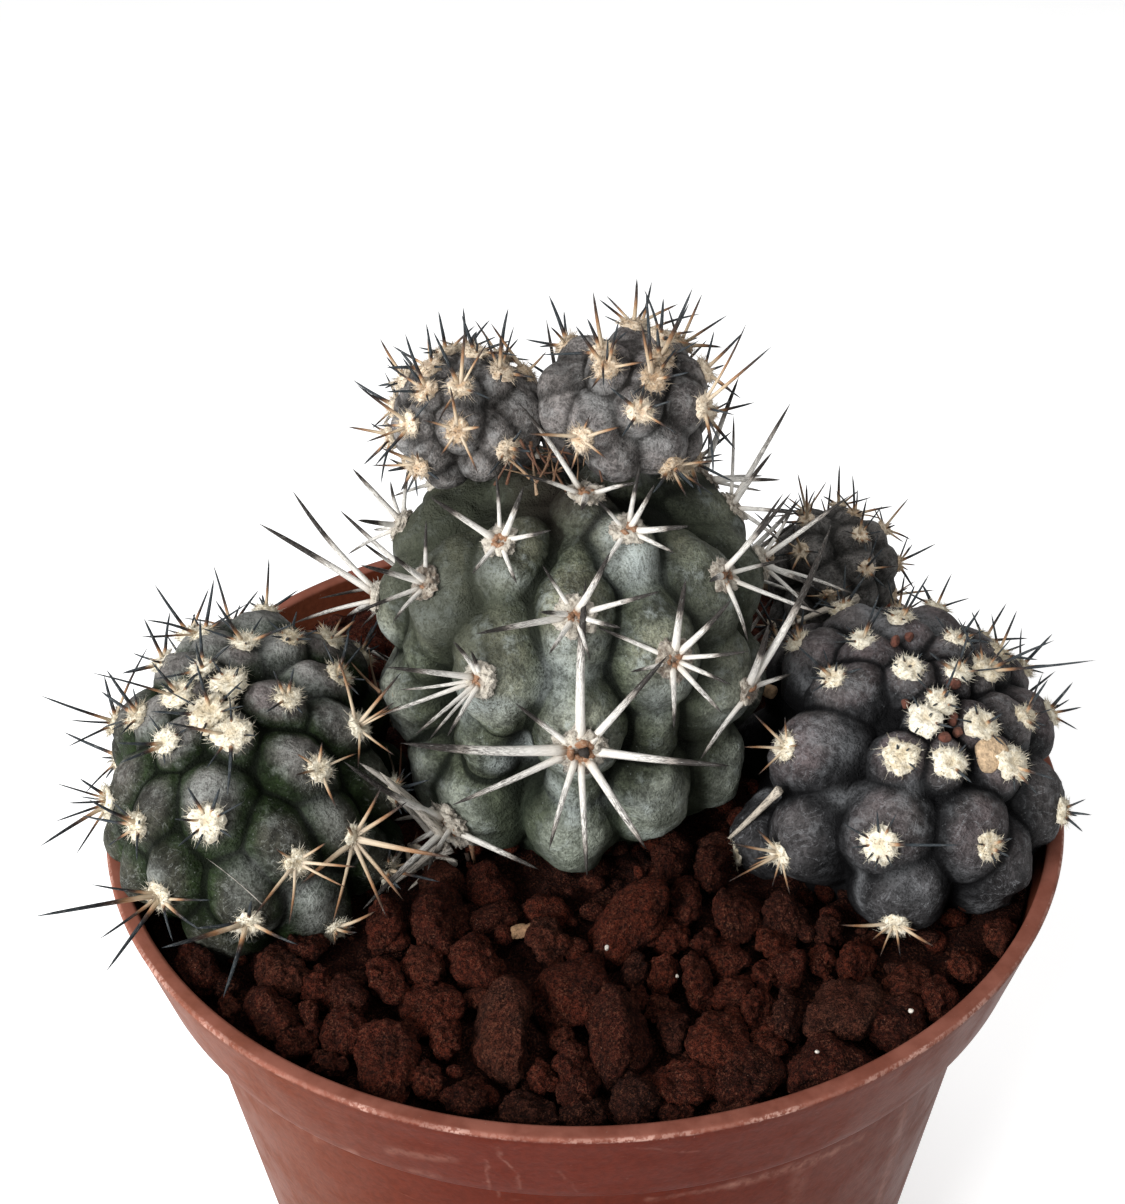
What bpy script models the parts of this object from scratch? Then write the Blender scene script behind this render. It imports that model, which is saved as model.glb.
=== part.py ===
"""A clump of copiapoa cactus in a round plastic nursery pot.

Metres, +Z up, the side the photo was taken from is -Y. The middle of the pot's underside is the
origin. Every size and place below is in millimetres and is scaled once, where a mesh is made.
The heads are measured from the photo: each areole that shows in it is named by its pixel, sent
back along the eye's line onto the head's outer shape, and the ones out of sight follow the same
spacing all the way round.
"""
import math

import bmesh
import bpy
import numpy as np
from mathutils import Matrix, Vector

MM = 0.001

# Pot, millimetres
RIM_Z = 85.0
RIM_RADIUS = 50.0
RIM_WIDTH = 1.65
COLLAR_FOOT_RADIUS = 47.6
COLLAR_HEIGHT = 10.6
BODY_TOP_RADIUS = 44.6
BODY_FOOT_RADIUS = 35.0
WALL = 1.2
FLOOR = 1.6
POT_SIDES = 48
DRAIN_HOLES = 6
DRAIN_RING_RADIUS = 21.0
DRAIN_HOLE_RADIUS = 3.2

# Grit
SOIL_Z = 80.6
SOIL_GAP = 0.35
STONE_SEED = 11
FILL_STONES = 240
STONE_FULLNESS = 1.12
GRIT_HOLLOW_RISE = 1.3
GRIT_RINGS = 52
GRIT_SECTORS = 168

# The clear space left between two separate pieces
HEAD_GAP = 0.4
POCKET_GAP = 1.1
POCKET_DEPTH = 4.0
SPINE_GAP = 0.5

# The photo: where the eye stood, which way it looked, and its lens in pixels
EYE = np.array((-1.83, -141.62, 196.34))
EYE_PITCH = math.radians(32.677)
EYE_ROLL = math.radians(-1.185)
LENS_PIXELS = 1672.0
PHOTO_MIDDLE = (562.5, 602.0)

GOLDEN_TURN = math.pi * (3.0 - math.sqrt(5.0))


def unit(vector):
    return vector / np.linalg.norm(vector)


def eye_axes():
    """Right, up and forward of the eye."""
    forward = np.array((0.0, math.cos(EYE_PITCH), -math.sin(EYE_PITCH)))
    level_up = np.array((0.0, math.sin(EYE_PITCH), math.cos(EYE_PITCH)))
    level_right = np.array((1.0, 0.0, 0.0))
    right = level_right * math.cos(EYE_ROLL) + level_up * math.sin(EYE_ROLL)
    up = level_up * math.cos(EYE_ROLL) - level_right * math.sin(EYE_ROLL)
    return right, up, forward


EYE_RIGHT, EYE_UP, EYE_FORWARD = eye_axes()


def sight_line(pixel):
    """Direction from the eye through one pixel of the photo."""
    across = (pixel[0] - PHOTO_MIDDLE[0]) / LENS_PIXELS
    down = (pixel[1] - PHOTO_MIDDLE[1]) / LENS_PIXELS
    return unit(EYE_FORWARD + EYE_RIGHT * across - EYE_UP * down)


def seen_at_height(pixel, height):
    """The point at one height that a pixel shows."""
    ray = sight_line(pixel)
    return EYE + ray * (height - EYE[2]) / ray[2]


class Head:
    """One stem: an egg that the tubercle tips reach, with a core and a bead for each tubercle."""

    def __init__(self, name, centre, radius, crown, foot, lean, stretch, squareness, core_depth,
                 apex_spacing, side_spacing, foot_z, spine_length, spine_thickness, seed):
        self.name = name
        self.centre = np.array(centre)
        self.radius = radius
        self.crown = crown
        self.foot = foot
        self.axis = unit(np.array((lean[0], lean[1], 1.0)))
        self.stretch = stretch
        self.squareness = squareness
        self.core_depth = core_depth
        self.apex_spacing = apex_spacing
        self.side_spacing = side_spacing
        self.foot_z = foot_z
        self.spine_length = spine_length
        self.spine_thickness = spine_thickness
        self.draw = np.random.default_rng(seed)
        self.side = unit(np.cross((0.0, 1.0, 0.0), self.axis))
        self.front = np.cross(self.axis, self.side)
        self.areoles = []
        self.beads = []

    def egg(self, directions):
        """Distance from the centre to the tip envelope along unit directions."""
        along = directions @ self.axis
        across = np.hypot(directions @ self.side, directions @ self.front / self.stretch)
        upper = along > 0.0
        power = np.where(upper, self.squareness, 2.0)
        pole = np.where(upper, self.crown, self.foot)
        total = (across / self.radius) ** power + (np.abs(along) / pole) ** power
        return total ** (-1.0 / power)

    def egg_point(self, direction):
        direction = unit(direction)
        return self.centre + direction * self.egg(direction[None, :])[0]

    def egg_normal(self, point):
        """Outward direction of the envelope at a point on it."""
        out = unit(point - self.centre)
        first = unit(np.cross(out, self.axis + np.array((0.013, 0.007, 0.0))))
        second = np.cross(out, first)
        step = 0.01
        ahead = self.egg_point(out + first * step) - self.egg_point(out - first * step)
        aside = self.egg_point(out + second * step) - self.egg_point(out - second * step)
        normal = unit(np.cross(ahead, aside))
        return normal if normal @ out > 0.0 else -normal

    def depth_outside(self, points):
        """How far points stand outside the envelope, measured from the centre."""
        away = points - self.centre
        distance = np.linalg.norm(away, axis=-1)
        return distance - self.egg(away / distance[..., None])

    def seen_on_egg(self, pixel):
        """Where the eye's line through a pixel meets the envelope, or passes it closest."""
        ray = sight_line(pixel)
        reach = np.linspace(90.0, 240.0, 3001)
        points = EYE + reach[:, None] * ray
        outside = self.depth_outside(points)
        inside = np.nonzero(outside < 0.0)[0]
        pick = inside[0] if len(inside) else int(np.argmin(outside))
        return self.egg_point(points[pick] - self.centre)

    def core(self, directions):
        """The flesh under the tubercles, shallower near the growing point."""
        along = np.clip(directions @ self.axis, -1.0, 1.0)
        openness = np.clip(np.arccos(along) / math.radians(60.0), 0.0, 1.0)
        depth = self.core_depth * (0.3 + 0.7 * openness)
        return self.egg(directions) - depth

    def body(self, directions):
        """Distance from the centre to the flesh along unit directions."""
        reach = self.core(directions)
        for middle, axes in self.beads:
            start = -(axes @ (middle - self.centre))
            turned = directions @ axes.T
            a = np.sum(turned ** 2, axis=1)
            b = turned @ start
            c = start @ start - 1.0
            root = b * b - a * c
            far = (-b + np.sqrt(np.maximum(root, 0.0))) / a
            reach = np.maximum(reach, np.where(root > 0.0, far, 0.0))
        falling = np.minimum(directions[:, 2], -1e-6)
        floor_reach = (self.foot_z - self.centre[2]) / falling
        return np.where(directions[:, 2] < 0.0, np.minimum(reach, floor_reach), reach)

    def add_bead(self, tip, normal, across, along, depth):
        """An ellipsoid whose outermost point is the tip, its long side down the stem."""
        down = unit(-self.axis + normal * (normal @ self.axis) + np.array((1e-4, 0.0, 0.0)))
        aside = np.cross(normal, down)
        middle = tip - normal * depth
        axes = np.array((normal / depth, down / along, aside / across))
        self.beads.append((middle, axes))


class Areole:
    def __init__(self, spot, normal, key):
        self.spot = spot
        self.normal = normal
        self.key = key


# Heads, millimetres. Centre, side radius, height of the crown above the centre, the lower
# half's polar radius, lean, how much deeper than wide it is, how square the crown is, depth of
# the creases, spacing of the areoles at the apex and at the side, the level where the stem is
# cut off under the grit, length and root thickness of its spines, and the seed of its draw.
HEADS = {
    "main_stem": Head("main_stem", (-0.8, 2.5, 99.0), 20.3, 20.2, 38.0, (0.0, 0.0), 1.0, 2.5, 6.0,
                      8.0, 12.0, 70.0, 12.5, 1.0, 1),
    "head_left": Head("head_left", (-33.7, -5.9, 88.0), 15.6, 15.7, 28.0, (-0.16, -0.15), 1.3, 2.0,
                      5.6, 3.4, 8.2, 75.0, 6.5, 0.6, 2),
    "head_right": Head("head_right", (32.6, -4.5, 86.6), 17.5, 16.0, 34.0, (0.26, -0.12), 1.18, 2.0,
                       5.4, 3.6, 9.2, 75.0, 5.6, 0.6, 3),
    "head_top_left": Head("head_top_left", (-11.0, 6.0, 123.2), 7.5, 6.7, 7.0, (-0.25, 0.0), 1.0,
                          2.0, 1.9, 2.8, 4.9, 60.0, 4.6, 0.5, 4),
    "head_top_right": Head("head_top_right", (4.8, 6.2, 124.2), 8.6, 7.8, 8.1, (0.12, -0.05), 1.0,
                           2.0, 2.2, 3.0, 5.6, 60.0, 5.6, 0.5, 5),
    "head_back_right": Head("head_back_right", (29.5, 22.5, 95.0), 7.4, 7.2, 18.0, (0.1, 0.0), 1.0,
                            2.0, 2.1, 2.9, 5.6, 76.0, 5.0, 0.5, 6),
}

# Areoles seen in the photo, by pixel
SEEN_AREOLES = {
    "head_left": (
        (202, 632), (114, 721), (178, 694), (229, 683), (288, 697), (165, 742), (210, 713),
        (232, 734), (320, 769), (359, 726), (107, 801), (207, 822), (159, 897), (297, 863),
        (355, 839), (248, 924), (336, 932), (266, 606), (331, 638)),
    "head_right": (
        (833, 677), (909, 668), (987, 668), (785, 747), (901, 757), (949, 763), (925, 720),
        (982, 725), (941, 701), (1012, 763), (779, 855), (880, 845), (990, 847), (1050, 712),
        (1063, 812), (895, 925), (1020, 891), (936, 606)),
    "head_top_left": (
        (460, 387), (425, 390), (409, 425), (458, 430), (420, 465), (508, 449), (490, 478),
        (525, 374)),
    "head_top_right": (
        (640, 411), (581, 438), (546, 379), (606, 368), (653, 379), (661, 358), (704, 406),
        (672, 467), (602, 352), (608, 478), (546, 449)),
    "head_back_right": (
        (801, 551), (860, 535), (866, 569), (839, 505), (801, 502), (906, 602), (901, 563)),
}

# The main stem's twelve ribs, counted from the one that faces the eye. A rib holds three
# areoles at these heights in degrees above the stem's widest place, odd and even ribs in turn.
RIB_COUNT = 12
NECK_DEPTH = 1.9
EVEN_ROWS = (76.0, 43.0, 5.0, -30.0)
ODD_ROWS = (62.0, 24.0, -14.0)
SEEN_ON_RIBS = {
    (0, 0): (586, 494), (0, 1): (575, 615), (0, 2): (580, 750), (0, 3): (573, 858),
    (1, 0): (628, 530), (1, 1): (675, 660), (1, 2): (668, 820),
    (2, 1): (723, 575), (2, 2): (748, 690), (3, 0): (738, 502),
    (11, 0): (500, 541), (11, 1): (480, 680), (11, 2): (450, 825),
    (10, 0): (475, 515), (10, 1): (425, 583), (10, 2): (385, 705),
    (9, 0): (395, 520), (9, 1): (345, 590),
}

# Tubercles of the main stem that the photo shows with no areole on them
BARE_TUBERCLES = ((0, 3), (1, 2))

# How each head's tubercles swell: how many neighbours their spacing is taken from, width as a
# share of it, how much longer down the stem and how much deeper than wide they are, and how far
# a dome stands above its areole, in widths
BEADS = {
    "main_stem": (5, 0.405, 1.30, 1.35, 0.0),
    "head_left": (3, 0.56, 1.30, 1.45, 0.32),
    "head_right": (3, 0.60, 1.15, 1.25, 0.22),
    "head_top_left": (3, 0.58, 1.05, 1.25, 0.10),
    "head_top_right": (3, 0.58, 1.05, 1.25, 0.10),
    "head_back_right": (3, 0.58, 1.05, 1.25, 0.10),
}
WIDEST_BEAD = 5.2
# Tubercles of the main stem that are wider than the rest, by rib and row
WIDER_TUBERCLES = {
    (1, 1): 1.15, (11, 1): 1.15, (11, 2): 1.1, (2, 1): 1.15, (2, 2): 1.15, (3, 0): 1.15,
    (3, 1): 1.2, (3, 2): 1.15, (4, 1): 1.15, (8, 1): 1.15, (9, 1): 1.2, (9, 0): 1.15,
    (9, 2): 1.15, (10, 1): 1.15, (10, 2): 1.15,
}

# Spines that the photo shows clearly: areole, pixel of the tip, length in millimetres.
# The strongest of an areole come first.
SEEN_SPINES = {
    ("main_stem", (0, 2)): (
        ((586, 578), 17.0), ((400, 743), 17.5), ((668, 655), 12.5), ((732, 766), 14.5),
        ((450, 806), 13.5), ((647, 850), 11.0), ((587, 878), 11.5), ((549, 850), 10.0),
        ((515, 703), 8.0)),
    ("main_stem", (0, 1)): (
        ((610, 552), 11.0), ((475, 634), 11.0), ((662, 591), 9.0), ((549, 654), 6.0),
        ((622, 628), 6.0)),
    ("main_stem", (1, 1)): (
        ((686, 578), 10.0), ((732, 599), 9.5), ((732, 685), 7.0), ((674, 729), 8.0),
        ((750, 651), 8.0), ((722, 713), 8.0), ((593, 625), 8.5), ((630, 672), 5.0)),
    ("main_stem", (11, 1)): (
        ((385, 667), 10.0), ((453, 641), 6.0), ((415, 735), 8.5), ((447, 737), 7.0)),
    ("main_stem", (11, 0)): (
        ((430, 497), 8.0), ((524, 486), 6.5), ((472, 574), 5.0), ((552, 530), 6.0),
        ((517, 584), 5.5)),
    ("main_stem", (1, 0)): (
        ((655, 484), 6.0), ((690, 526), 6.5), ((600, 571), 5.5), ((675, 553), 5.5),
        ((597, 500), 5.0)),
    ("main_stem", (11, 2)): (
        ((330, 745), 17.0), ((362, 910), 15.0), ((540, 870), 12.0), ((447, 900), 9.0)),
    ("main_stem", (10, 1)): (
        ((360, 565), 8.0), ((393, 555), 6.0), ((355, 613), 8.0), ((393, 622), 6.0)),
    ("main_stem", (9, 1)): (
        ((258, 523), 12.0), ((292, 490), 13.0), ((300, 640), 8.0)),
    ("main_stem", (9, 0)): (
        ((352, 468), 8.0), ((357, 520), 6.0)),
    ("main_stem", (2, 2)): (
        ((832, 523), 24.0), ((769, 623), 11.0), ((700, 760), 9.0)),
}

# Spines of the other heads that the photo shows, by the pixel of each tip, strongest first
SEEN_TIPS = {
    ("head_left", 0): ((214, 578), (145, 620), (138, 637), (248, 603), (226, 617)),
    ("head_left", 1): ((39, 695), (104, 675), (149, 645), (67, 747), (69, 720), (147, 734)),
    ("head_left", 2): ((151, 661), (160, 682), (89, 672)),
    ("head_left", 3): ((239, 667), (212, 700)),
    ("head_left", 4): ((273, 670), (294, 667), (303, 714)),
    ("head_left", 5): ((116, 743), (120, 763), (188, 728), (165, 765)),
    ("head_left", 7): ((164, 722), (227, 797), (206, 769), (257, 736)),
    ("head_left", 8): ((379, 785), (322, 742)),
    ("head_left", 9): ((336, 651), (427, 676), (382, 775), (358, 770), (411, 716), (405, 705)),
    ("head_left", 10): ((39, 847), (79, 778), (54, 822), (75, 856), (67, 803), (55, 783)),
    ("head_left", 11): ((187, 786), (220, 787), (177, 847), (174, 819), (195, 850), (233, 838)),
    ("head_left", 12): ((32, 917), (105, 973), (89, 884), (214, 900), (98, 940), (202, 931),
                        (173, 942), (168, 877)),
    ("head_left", 13): ((252, 919), (358, 867), (289, 925), (347, 888), (327, 842)),
    ("head_left", 14): ((455, 858), (301, 884), (383, 784), (357, 936), (408, 801), (404, 901),
                        (332, 926)),
    ("head_left", 15): ((223, 998), (161, 948), (299, 945), (196, 928)),
    ("head_left", 16): ((371, 984), (388, 907)),
    ("head_left", 17): ((269, 556), (262, 594)),
    ("head_left", 18): ((385, 636), (300, 630)),
    ("head_right", 0): ((797, 645), (863, 668), (807, 677), (812, 692), (837, 661)),
    ("head_right", 1): ((893, 664), (921, 678), (903, 655)),
    ("head_right", 2): ((1055, 640), (1097, 660), (957, 616), (1012, 638), (979, 622)),
    ("head_right", 3): ((743, 747), (753, 713), (758, 775), (785, 716)),
    ("head_right", 4): ((897, 744), (890, 762), (909, 748)),
    ("head_right", 5): ((972, 783), (944, 757), (957, 775)),
    ("head_right", 6): ((954, 728), (932, 713), (914, 734)),
    ("head_right", 7): ((1003, 713), (975, 740)),
    ("head_right", 8): ((959, 658), (950, 690)),
    ("head_right", 9): ((1057, 780), (1038, 795), (973, 758), (1015, 792)),
    ("head_right", 10): ((728, 842), (753, 825), (790, 895), (728, 882), (748, 868), (772, 887)),
    ("head_right", 11): ((963, 845), (877, 810), (842, 823), (897, 813), (850, 848), (875, 872),
                         (893, 868), (866, 861)),
    ("head_right", 12): ((1013, 838), (1010, 857), (996, 862)),
    ("head_right", 13): ((1082, 707), (1073, 682), (1078, 730), (1070, 699)),
    ("head_right", 14): ((1092, 815), (1083, 832), (1086, 799)),
    ("head_right", 15): ((840, 925), (935, 947), (880, 957), (872, 940), (918, 931)),
    ("head_right", 17): ((952, 573), (922, 584), (970, 598), (903, 590)),
    ("head_top_left", 0): ((433, 331), (465, 327), (488, 342)),
    ("head_top_left", 1): ((405, 333), (402, 357), (385, 392)),
    ("head_top_left", 2): ((356, 384), (374, 467), (366, 442)),
    ("head_top_left", 3): ((450, 386), (481, 427)),
    ("head_top_left", 4): ((381, 448), (440, 480)),
    ("head_top_left", 7): ((490, 322), (513, 418), (510, 356)),
    ("head_top_right", 1): ((528, 434), (621, 427), (590, 415)),
    ("head_top_right", 2): ((556, 319), (540, 336)),
    ("head_top_right", 3): ((619, 320), (575, 325), (608, 338)),
    ("head_top_right", 4): ((646, 290), (641, 322), (690, 372)),
    ("head_top_right", 5): ((693, 287), (657, 328), (700, 340)),
    ("head_top_right", 6): ((772, 346), (713, 477), (747, 322), (735, 415), (722, 445)),
    ("head_top_right", 8): ((593, 291), (587, 318), (628, 331)),
}

# How many spines an areole carries here, and the least height of an areole above the grit
SPINES_PER_AREOLE = {
    "main_stem": 4, "head_left": 3, "head_right": 3,
    "head_top_left": 2, "head_top_right": 3, "head_back_right": 2,
}
SPINE_ROOT_DEPTH = 1.0
# A seen tip's distance from its areole is this much longer than it looks, leaning to the eye
SEEN_TIP_SLANT = 1.12
PAD_SIDES = 5
PAD_HEIGHT = 0.4
LEAST_AREOLE_Z = SOIL_Z + 1.3

# Grit stones seen in the photo: middle pixel, width and height in pixels, turn in degrees
SEEN_STONES = (
    (194, 970, 48, 48, 0), (279, 975, 52, 50, 0), (319, 987, 34, 36, 0), (268, 1015, 60, 38, -15),
    (228, 1008, 22, 32, 10), (386, 930, 38, 56, 0), (437, 925, 68, 58, 0), (386, 978, 48, 38, -35),
    (347, 999, 46, 34, 0), (345, 1030, 48, 44, 0), (310, 1020, 20, 36, 0), (295, 1043, 46, 26, -15),
    (328, 1062, 38, 24, -15), (385, 1063, 66, 62, 0), (430, 1010, 62, 40, 15), (425, 970, 46, 36, 0),
    (479, 965, 54, 50, 20), (444, 1042, 34, 38, 0), (430, 1083, 36, 30, -20), (466, 1099, 46, 28, -8),
    (501, 1040, 98, 62, 80), (550, 945, 44, 44, 0), (573, 995, 84, 56, 22), (622, 925, 104, 46, 42),
    (562, 1040, 26, 22, 0), (574, 1064, 44, 32, -30), (541, 1077, 32, 30, 20), (577, 1090, 48, 28, 0),
    (528, 1110, 58, 26, -6), (586, 1112, 46, 26, 0), (619, 1045, 96, 58, 98), (637, 1103, 52, 42, 0),
    (690, 1083, 66, 32, -5), (680, 1112, 36, 22, 0), (720, 1038, 66, 46, 15), (675, 1030, 38, 34, 0),
    (660, 1010, 36, 20, 0), (661, 975, 32, 42, 0), (697, 985, 52, 34, 110), (634, 970, 28, 36, 0),
    (728, 960, 48, 30, 38), (735, 992, 44, 30, 32), (672, 938, 38, 30, 0), (685, 905, 52, 34, 70),
    (670, 858, 36, 42, 0), (712, 873, 36, 46, 0), (737, 918, 52, 52, 0), (785, 920, 40, 54, 10),
    (772, 943, 40, 26, -20), (704, 943, 28, 24, 0), (790, 967, 36, 38, 0), (763, 975, 26, 26, 0),
    (758, 1008, 32, 36, 0), (788, 1020, 54, 30, 112), (767, 1043, 38, 24, -10), (845, 1010, 86, 52, -5),
    (827, 935, 32, 30, 0), (856, 965, 52, 34, 112), (820, 961, 28, 26, 0), (826, 1065, 86, 52, 6),
    (748, 1078, 68, 50, -10), (898, 1022, 58, 46, 0), (942, 1000, 36, 40, 0), (903, 985, 50, 34, 0),
    (1002, 935, 36, 32, 0), (965, 968, 32, 28, 0), (405, 1036, 32, 24, 0), (224, 988, 28, 22, 0),
    (305, 945, 42, 26, 0), (640, 1000, 20, 20, 0), (505, 990, 30, 24, 0), (740, 1108, 50, 24, 8),
)


def place_rib_areoles(head):
    """The main stem: areoles on twelve ribs, odd and even ribs half a step apart."""
    for rib in range(RIB_COUNT):
        azimuth = math.radians(-90.0 + 360.0 / RIB_COUNT * rib)
        rows = ODD_ROWS if rib % 2 else EVEN_ROWS
        previous = None
        for row, elevation in enumerate(rows):
            lift = math.radians(elevation + head.draw.uniform(-1.5, 1.5))
            turn = azimuth + math.radians(head.draw.uniform(-1.5, 1.5))
            direction = np.array((math.cos(lift) * math.cos(turn), math.cos(lift) * math.sin(turn),
                                  math.sin(lift)))
            spot = head.egg_point(direction)
            if (rib, row) in SEEN_ON_RIBS:
                spot = head.seen_on_egg(SEEN_ON_RIBS[(rib, row)])
            if row == 0 and elevation > 70.0 and rib not in (0, 4, 8):
                continue
            head.areoles.append(Areole(spot, head.egg_normal(spot), (rib, row)))
            if previous is not None:
                neck = head.egg_point((previous + spot) / 2.0 - head.centre)
                normal = head.egg_normal(neck)
                head.add_bead(neck - normal * NECK_DEPTH, normal, 3.3, 6.0, 4.2)
            previous = spot


def spacing_at(head, spot):
    """Wanted distance between areoles, small at the growing point and full at the side."""
    along = np.clip(unit(spot - head.centre) @ head.axis, -1.0, 1.0)
    share = min(1.0, math.acos(along) / math.radians(75.0))
    return head.apex_spacing + (head.side_spacing - head.apex_spacing) * share


def place_spiral_areoles(head):
    """The other heads: the seen areoles first, then the rest packed the same way all round."""
    spots = [head.seen_on_egg(pixel) for pixel in SEEN_AREOLES[head.name]]
    count = 700
    candidates = []
    for step in range(count):
        height = 1.0 - 1.75 * (step + 0.5) / count
        reach = math.sqrt(1.0 - height * height)
        turn = GOLDEN_TURN * step
        direction = (head.axis * height + head.side * reach * math.cos(turn)
                     + head.front * reach * math.sin(turn))
        spot = head.egg_point(direction)
        if spot[2] > SOIL_Z - 3.0 and not in_another_head(head, spot, 0.5):
            candidates.append(spot)
    while candidates:
        best = None
        kept = []
        for spot in candidates:
            nearest = min(np.linalg.norm(spot - other) for other in spots)
            ratio = nearest / spacing_at(head, spot)
            if ratio < 0.92:
                continue
            kept.append(spot)
            if best is None or ratio < best[0]:
                best = (ratio, spot)
        if best is None:
            break
        spots.append(best[1])
        candidates = kept
    for number, spot in enumerate(spots):
        head.areoles.append(Areole(spot, head.egg_normal(spot), number))


def in_another_head(head, spot, margin):
    """True where a spot on one head lies in another head or nearer to it than the margin."""
    for other in HEADS.values():
        if other is head:
            continue
        if other.depth_outside(spot[None, :])[0] < margin:
            return True
    return False


def shape_beads(head):
    """One bead a tubercle, as wide as its neighbours let it be, with its areole on the flesh."""
    spots = np.array([areole.spot for areole in head.areoles])
    neighbours, share, longer, deeper, rise = BEADS[head.name]
    for areole in head.areoles:
        distances = np.sort(np.linalg.norm(spots - areole.spot, axis=1))[1:neighbours + 1]
        width = min(WIDEST_BEAD, share * float(np.mean(distances)))
        width *= WIDER_TUBERCLES.get(areole.key, 1.0)
        tip = head.egg_point(areole.spot - bead_down(head, areole) * rise * width - head.centre)
        head.add_bead(tip, head.egg_normal(tip), width, width * longer, width * deeper)
    for areole in head.areoles:
        out = unit(areole.spot - head.centre)
        areole.spot = head.centre + out * head.body(out[None, :])[0]


def bead_down(head, areole):
    """Down the stem, along the flesh at an areole."""
    return unit(-head.axis + areole.normal * (areole.normal @ head.axis) + np.array((1e-4, 0.0, 0.0)))


def wall_inner_radius(z):
    """Inside radius of the pot's wall at a height."""
    step_z = RIM_Z - COLLAR_HEIGHT
    if z >= step_z:
        share = (z - step_z) / COLLAR_HEIGHT
        inner_foot = COLLAR_FOOT_RADIUS - WALL
        return inner_foot + (RIM_RADIUS - RIM_WIDTH - inner_foot) * share
    share = z / step_z
    return BODY_FOOT_RADIUS + (BODY_TOP_RADIUS - BODY_FOOT_RADIUS) * share - WALL


NARROWEST_INSIDE = wall_inner_radius(RIM_Z - COLLAR_HEIGHT)


def in_pot_wall(points, gap):
    """True for points that are in the pot's wall or nearer to it than the gap."""
    radial = np.hypot(points[:, 0], points[:, 1])
    return (points[:, 2] < RIM_Z + gap) & (radial > NARROWEST_INSIDE - gap)


def clip_reach(head, directions, reach, earlier):
    """Shorten the rays that would run into an earlier head or the pot."""
    shares = np.linspace(0.3, 1.0, 57)
    limit = np.ones(len(directions))
    for share in shares[::-1]:
        points = head.centre + directions * (reach * share)[:, None]
        blocked = in_pot_wall(points, HEAD_GAP)
        for other in earlier:
            blocked |= other.depth_outside(points) < HEAD_GAP
        limit = np.where(blocked, share - (shares[1] - shares[0]), limit)
    return reach * limit


def sphere_directions(subdivisions):
    bm = bmesh.new()
    bmesh.ops.create_icosphere(bm, subdivisions=subdivisions, radius=1.0)
    directions = np.array([vertex.co[:] for vertex in bm.verts])
    faces = [[vertex.index for vertex in face.verts] for face in bm.faces]
    bm.free()
    directions /= np.linalg.norm(directions, axis=1)[:, None]
    return directions, faces


def new_object(name, points, faces):
    """Make a mesh object from points in millimetres."""
    mesh = bpy.data.meshes.new(name)
    mesh.from_pydata([tuple(float(c) * MM for c in point) for point in points], [], faces)
    mesh.update()
    obj = bpy.data.objects.new(name, mesh)
    bpy.context.scene.collection.objects.link(obj)
    return obj


def apply_modifiers(obj):
    """Replace the mesh by its modified form and drop the modifiers."""
    graph = bpy.context.evaluated_depsgraph_get()
    graph.update()
    mesh = bpy.data.meshes.new_from_object(obj.evaluated_get(graph))
    obj.modifiers.clear()
    obj.data = mesh


def remove_objects(objects):
    for obj in list(objects):
        bpy.data.objects.remove(obj, do_unlink=True)


def boolean(obj, others, operation):
    """Join the others to an object, or cut them from it, in one step."""
    group = bpy.data.collections.new("operands")
    bpy.context.scene.collection.children.link(group)
    for other in others:
        bpy.context.scene.collection.objects.unlink(other)
        group.objects.link(other)
        other.hide_render = True
        other.display_type = "WIRE"
    modifier = obj.modifiers.new("boolean", "BOOLEAN")
    modifier.operation = operation
    modifier.operand_type = "COLLECTION"
    modifier.collection = group
    modifier.solver = "EXACT"
    apply_modifiers(obj)
    remove_objects(others)
    bpy.data.collections.remove(group)


def decimate(obj, triangles):
    bm = bmesh.new()
    bm.from_mesh(obj.data)
    bmesh.ops.triangulate(bm, faces=bm.faces)
    now = len(bm.faces)
    bm.to_mesh(obj.data)
    bm.free()
    modifier = obj.modifiers.new("fewer", "DECIMATE")
    modifier.ratio = min(1.0, triangles / now)
    apply_modifiers(obj)


def keep_largest(obj):
    """Drop any loose crumb that a cut has left."""
    bm = bmesh.new()
    bm.from_mesh(obj.data)
    unseen = set(bm.faces)
    islands = []
    while unseen:
        stack = [unseen.pop()]
        island = list(stack)
        while stack:
            face = stack.pop()
            for edge in face.edges:
                for other in edge.link_faces:
                    if other in unseen:
                        unseen.remove(other)
                        stack.append(other)
                        island.append(other)
        islands.append(island)
    islands.sort(key=len)
    for island in islands[:-1]:
        bmesh.ops.delete(bm, geom=island, context="FACES")
    loose = [vertex for vertex in bm.verts if not vertex.link_faces]
    bmesh.ops.delete(bm, geom=loose, context="VERTS")
    bm.to_mesh(obj.data)
    bm.free()


def lathe(name, profile, sides):
    """Turn a closed outline of (radius, height) points round the Z axis."""
    bm = bmesh.new()
    rings = []
    for number, (radius, height) in enumerate(profile):
        if number and (radius, height) == profile[0]:
            rings.append(rings[0])
            continue
        if radius < 1e-6:
            rings.append([bm.verts.new((0.0, 0.0, height * MM))])
            continue
        ring = []
        for side in range(sides):
            turn = 2.0 * math.pi * side / sides
            ring.append(bm.verts.new((radius * math.cos(turn) * MM, radius * math.sin(turn) * MM,
                                      height * MM)))
        rings.append(ring)
    for first, second in zip(rings[:-1], rings[1:]):
        for side in range(sides):
            after = (side + 1) % sides
            if len(first) == 1:
                bm.faces.new((first[0], second[after], second[side]))
            elif len(second) == 1:
                bm.faces.new((first[side], first[after], second[0]))
            else:
                bm.faces.new((first[side], first[after], second[after], second[side]))
    bmesh.ops.recalc_face_normals(bm, faces=bm.faces)
    mesh = bpy.data.meshes.new(name)
    bm.to_mesh(mesh)
    bm.free()
    obj = bpy.data.objects.new(name, mesh)
    bpy.context.scene.collection.objects.link(obj)
    return obj


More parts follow.
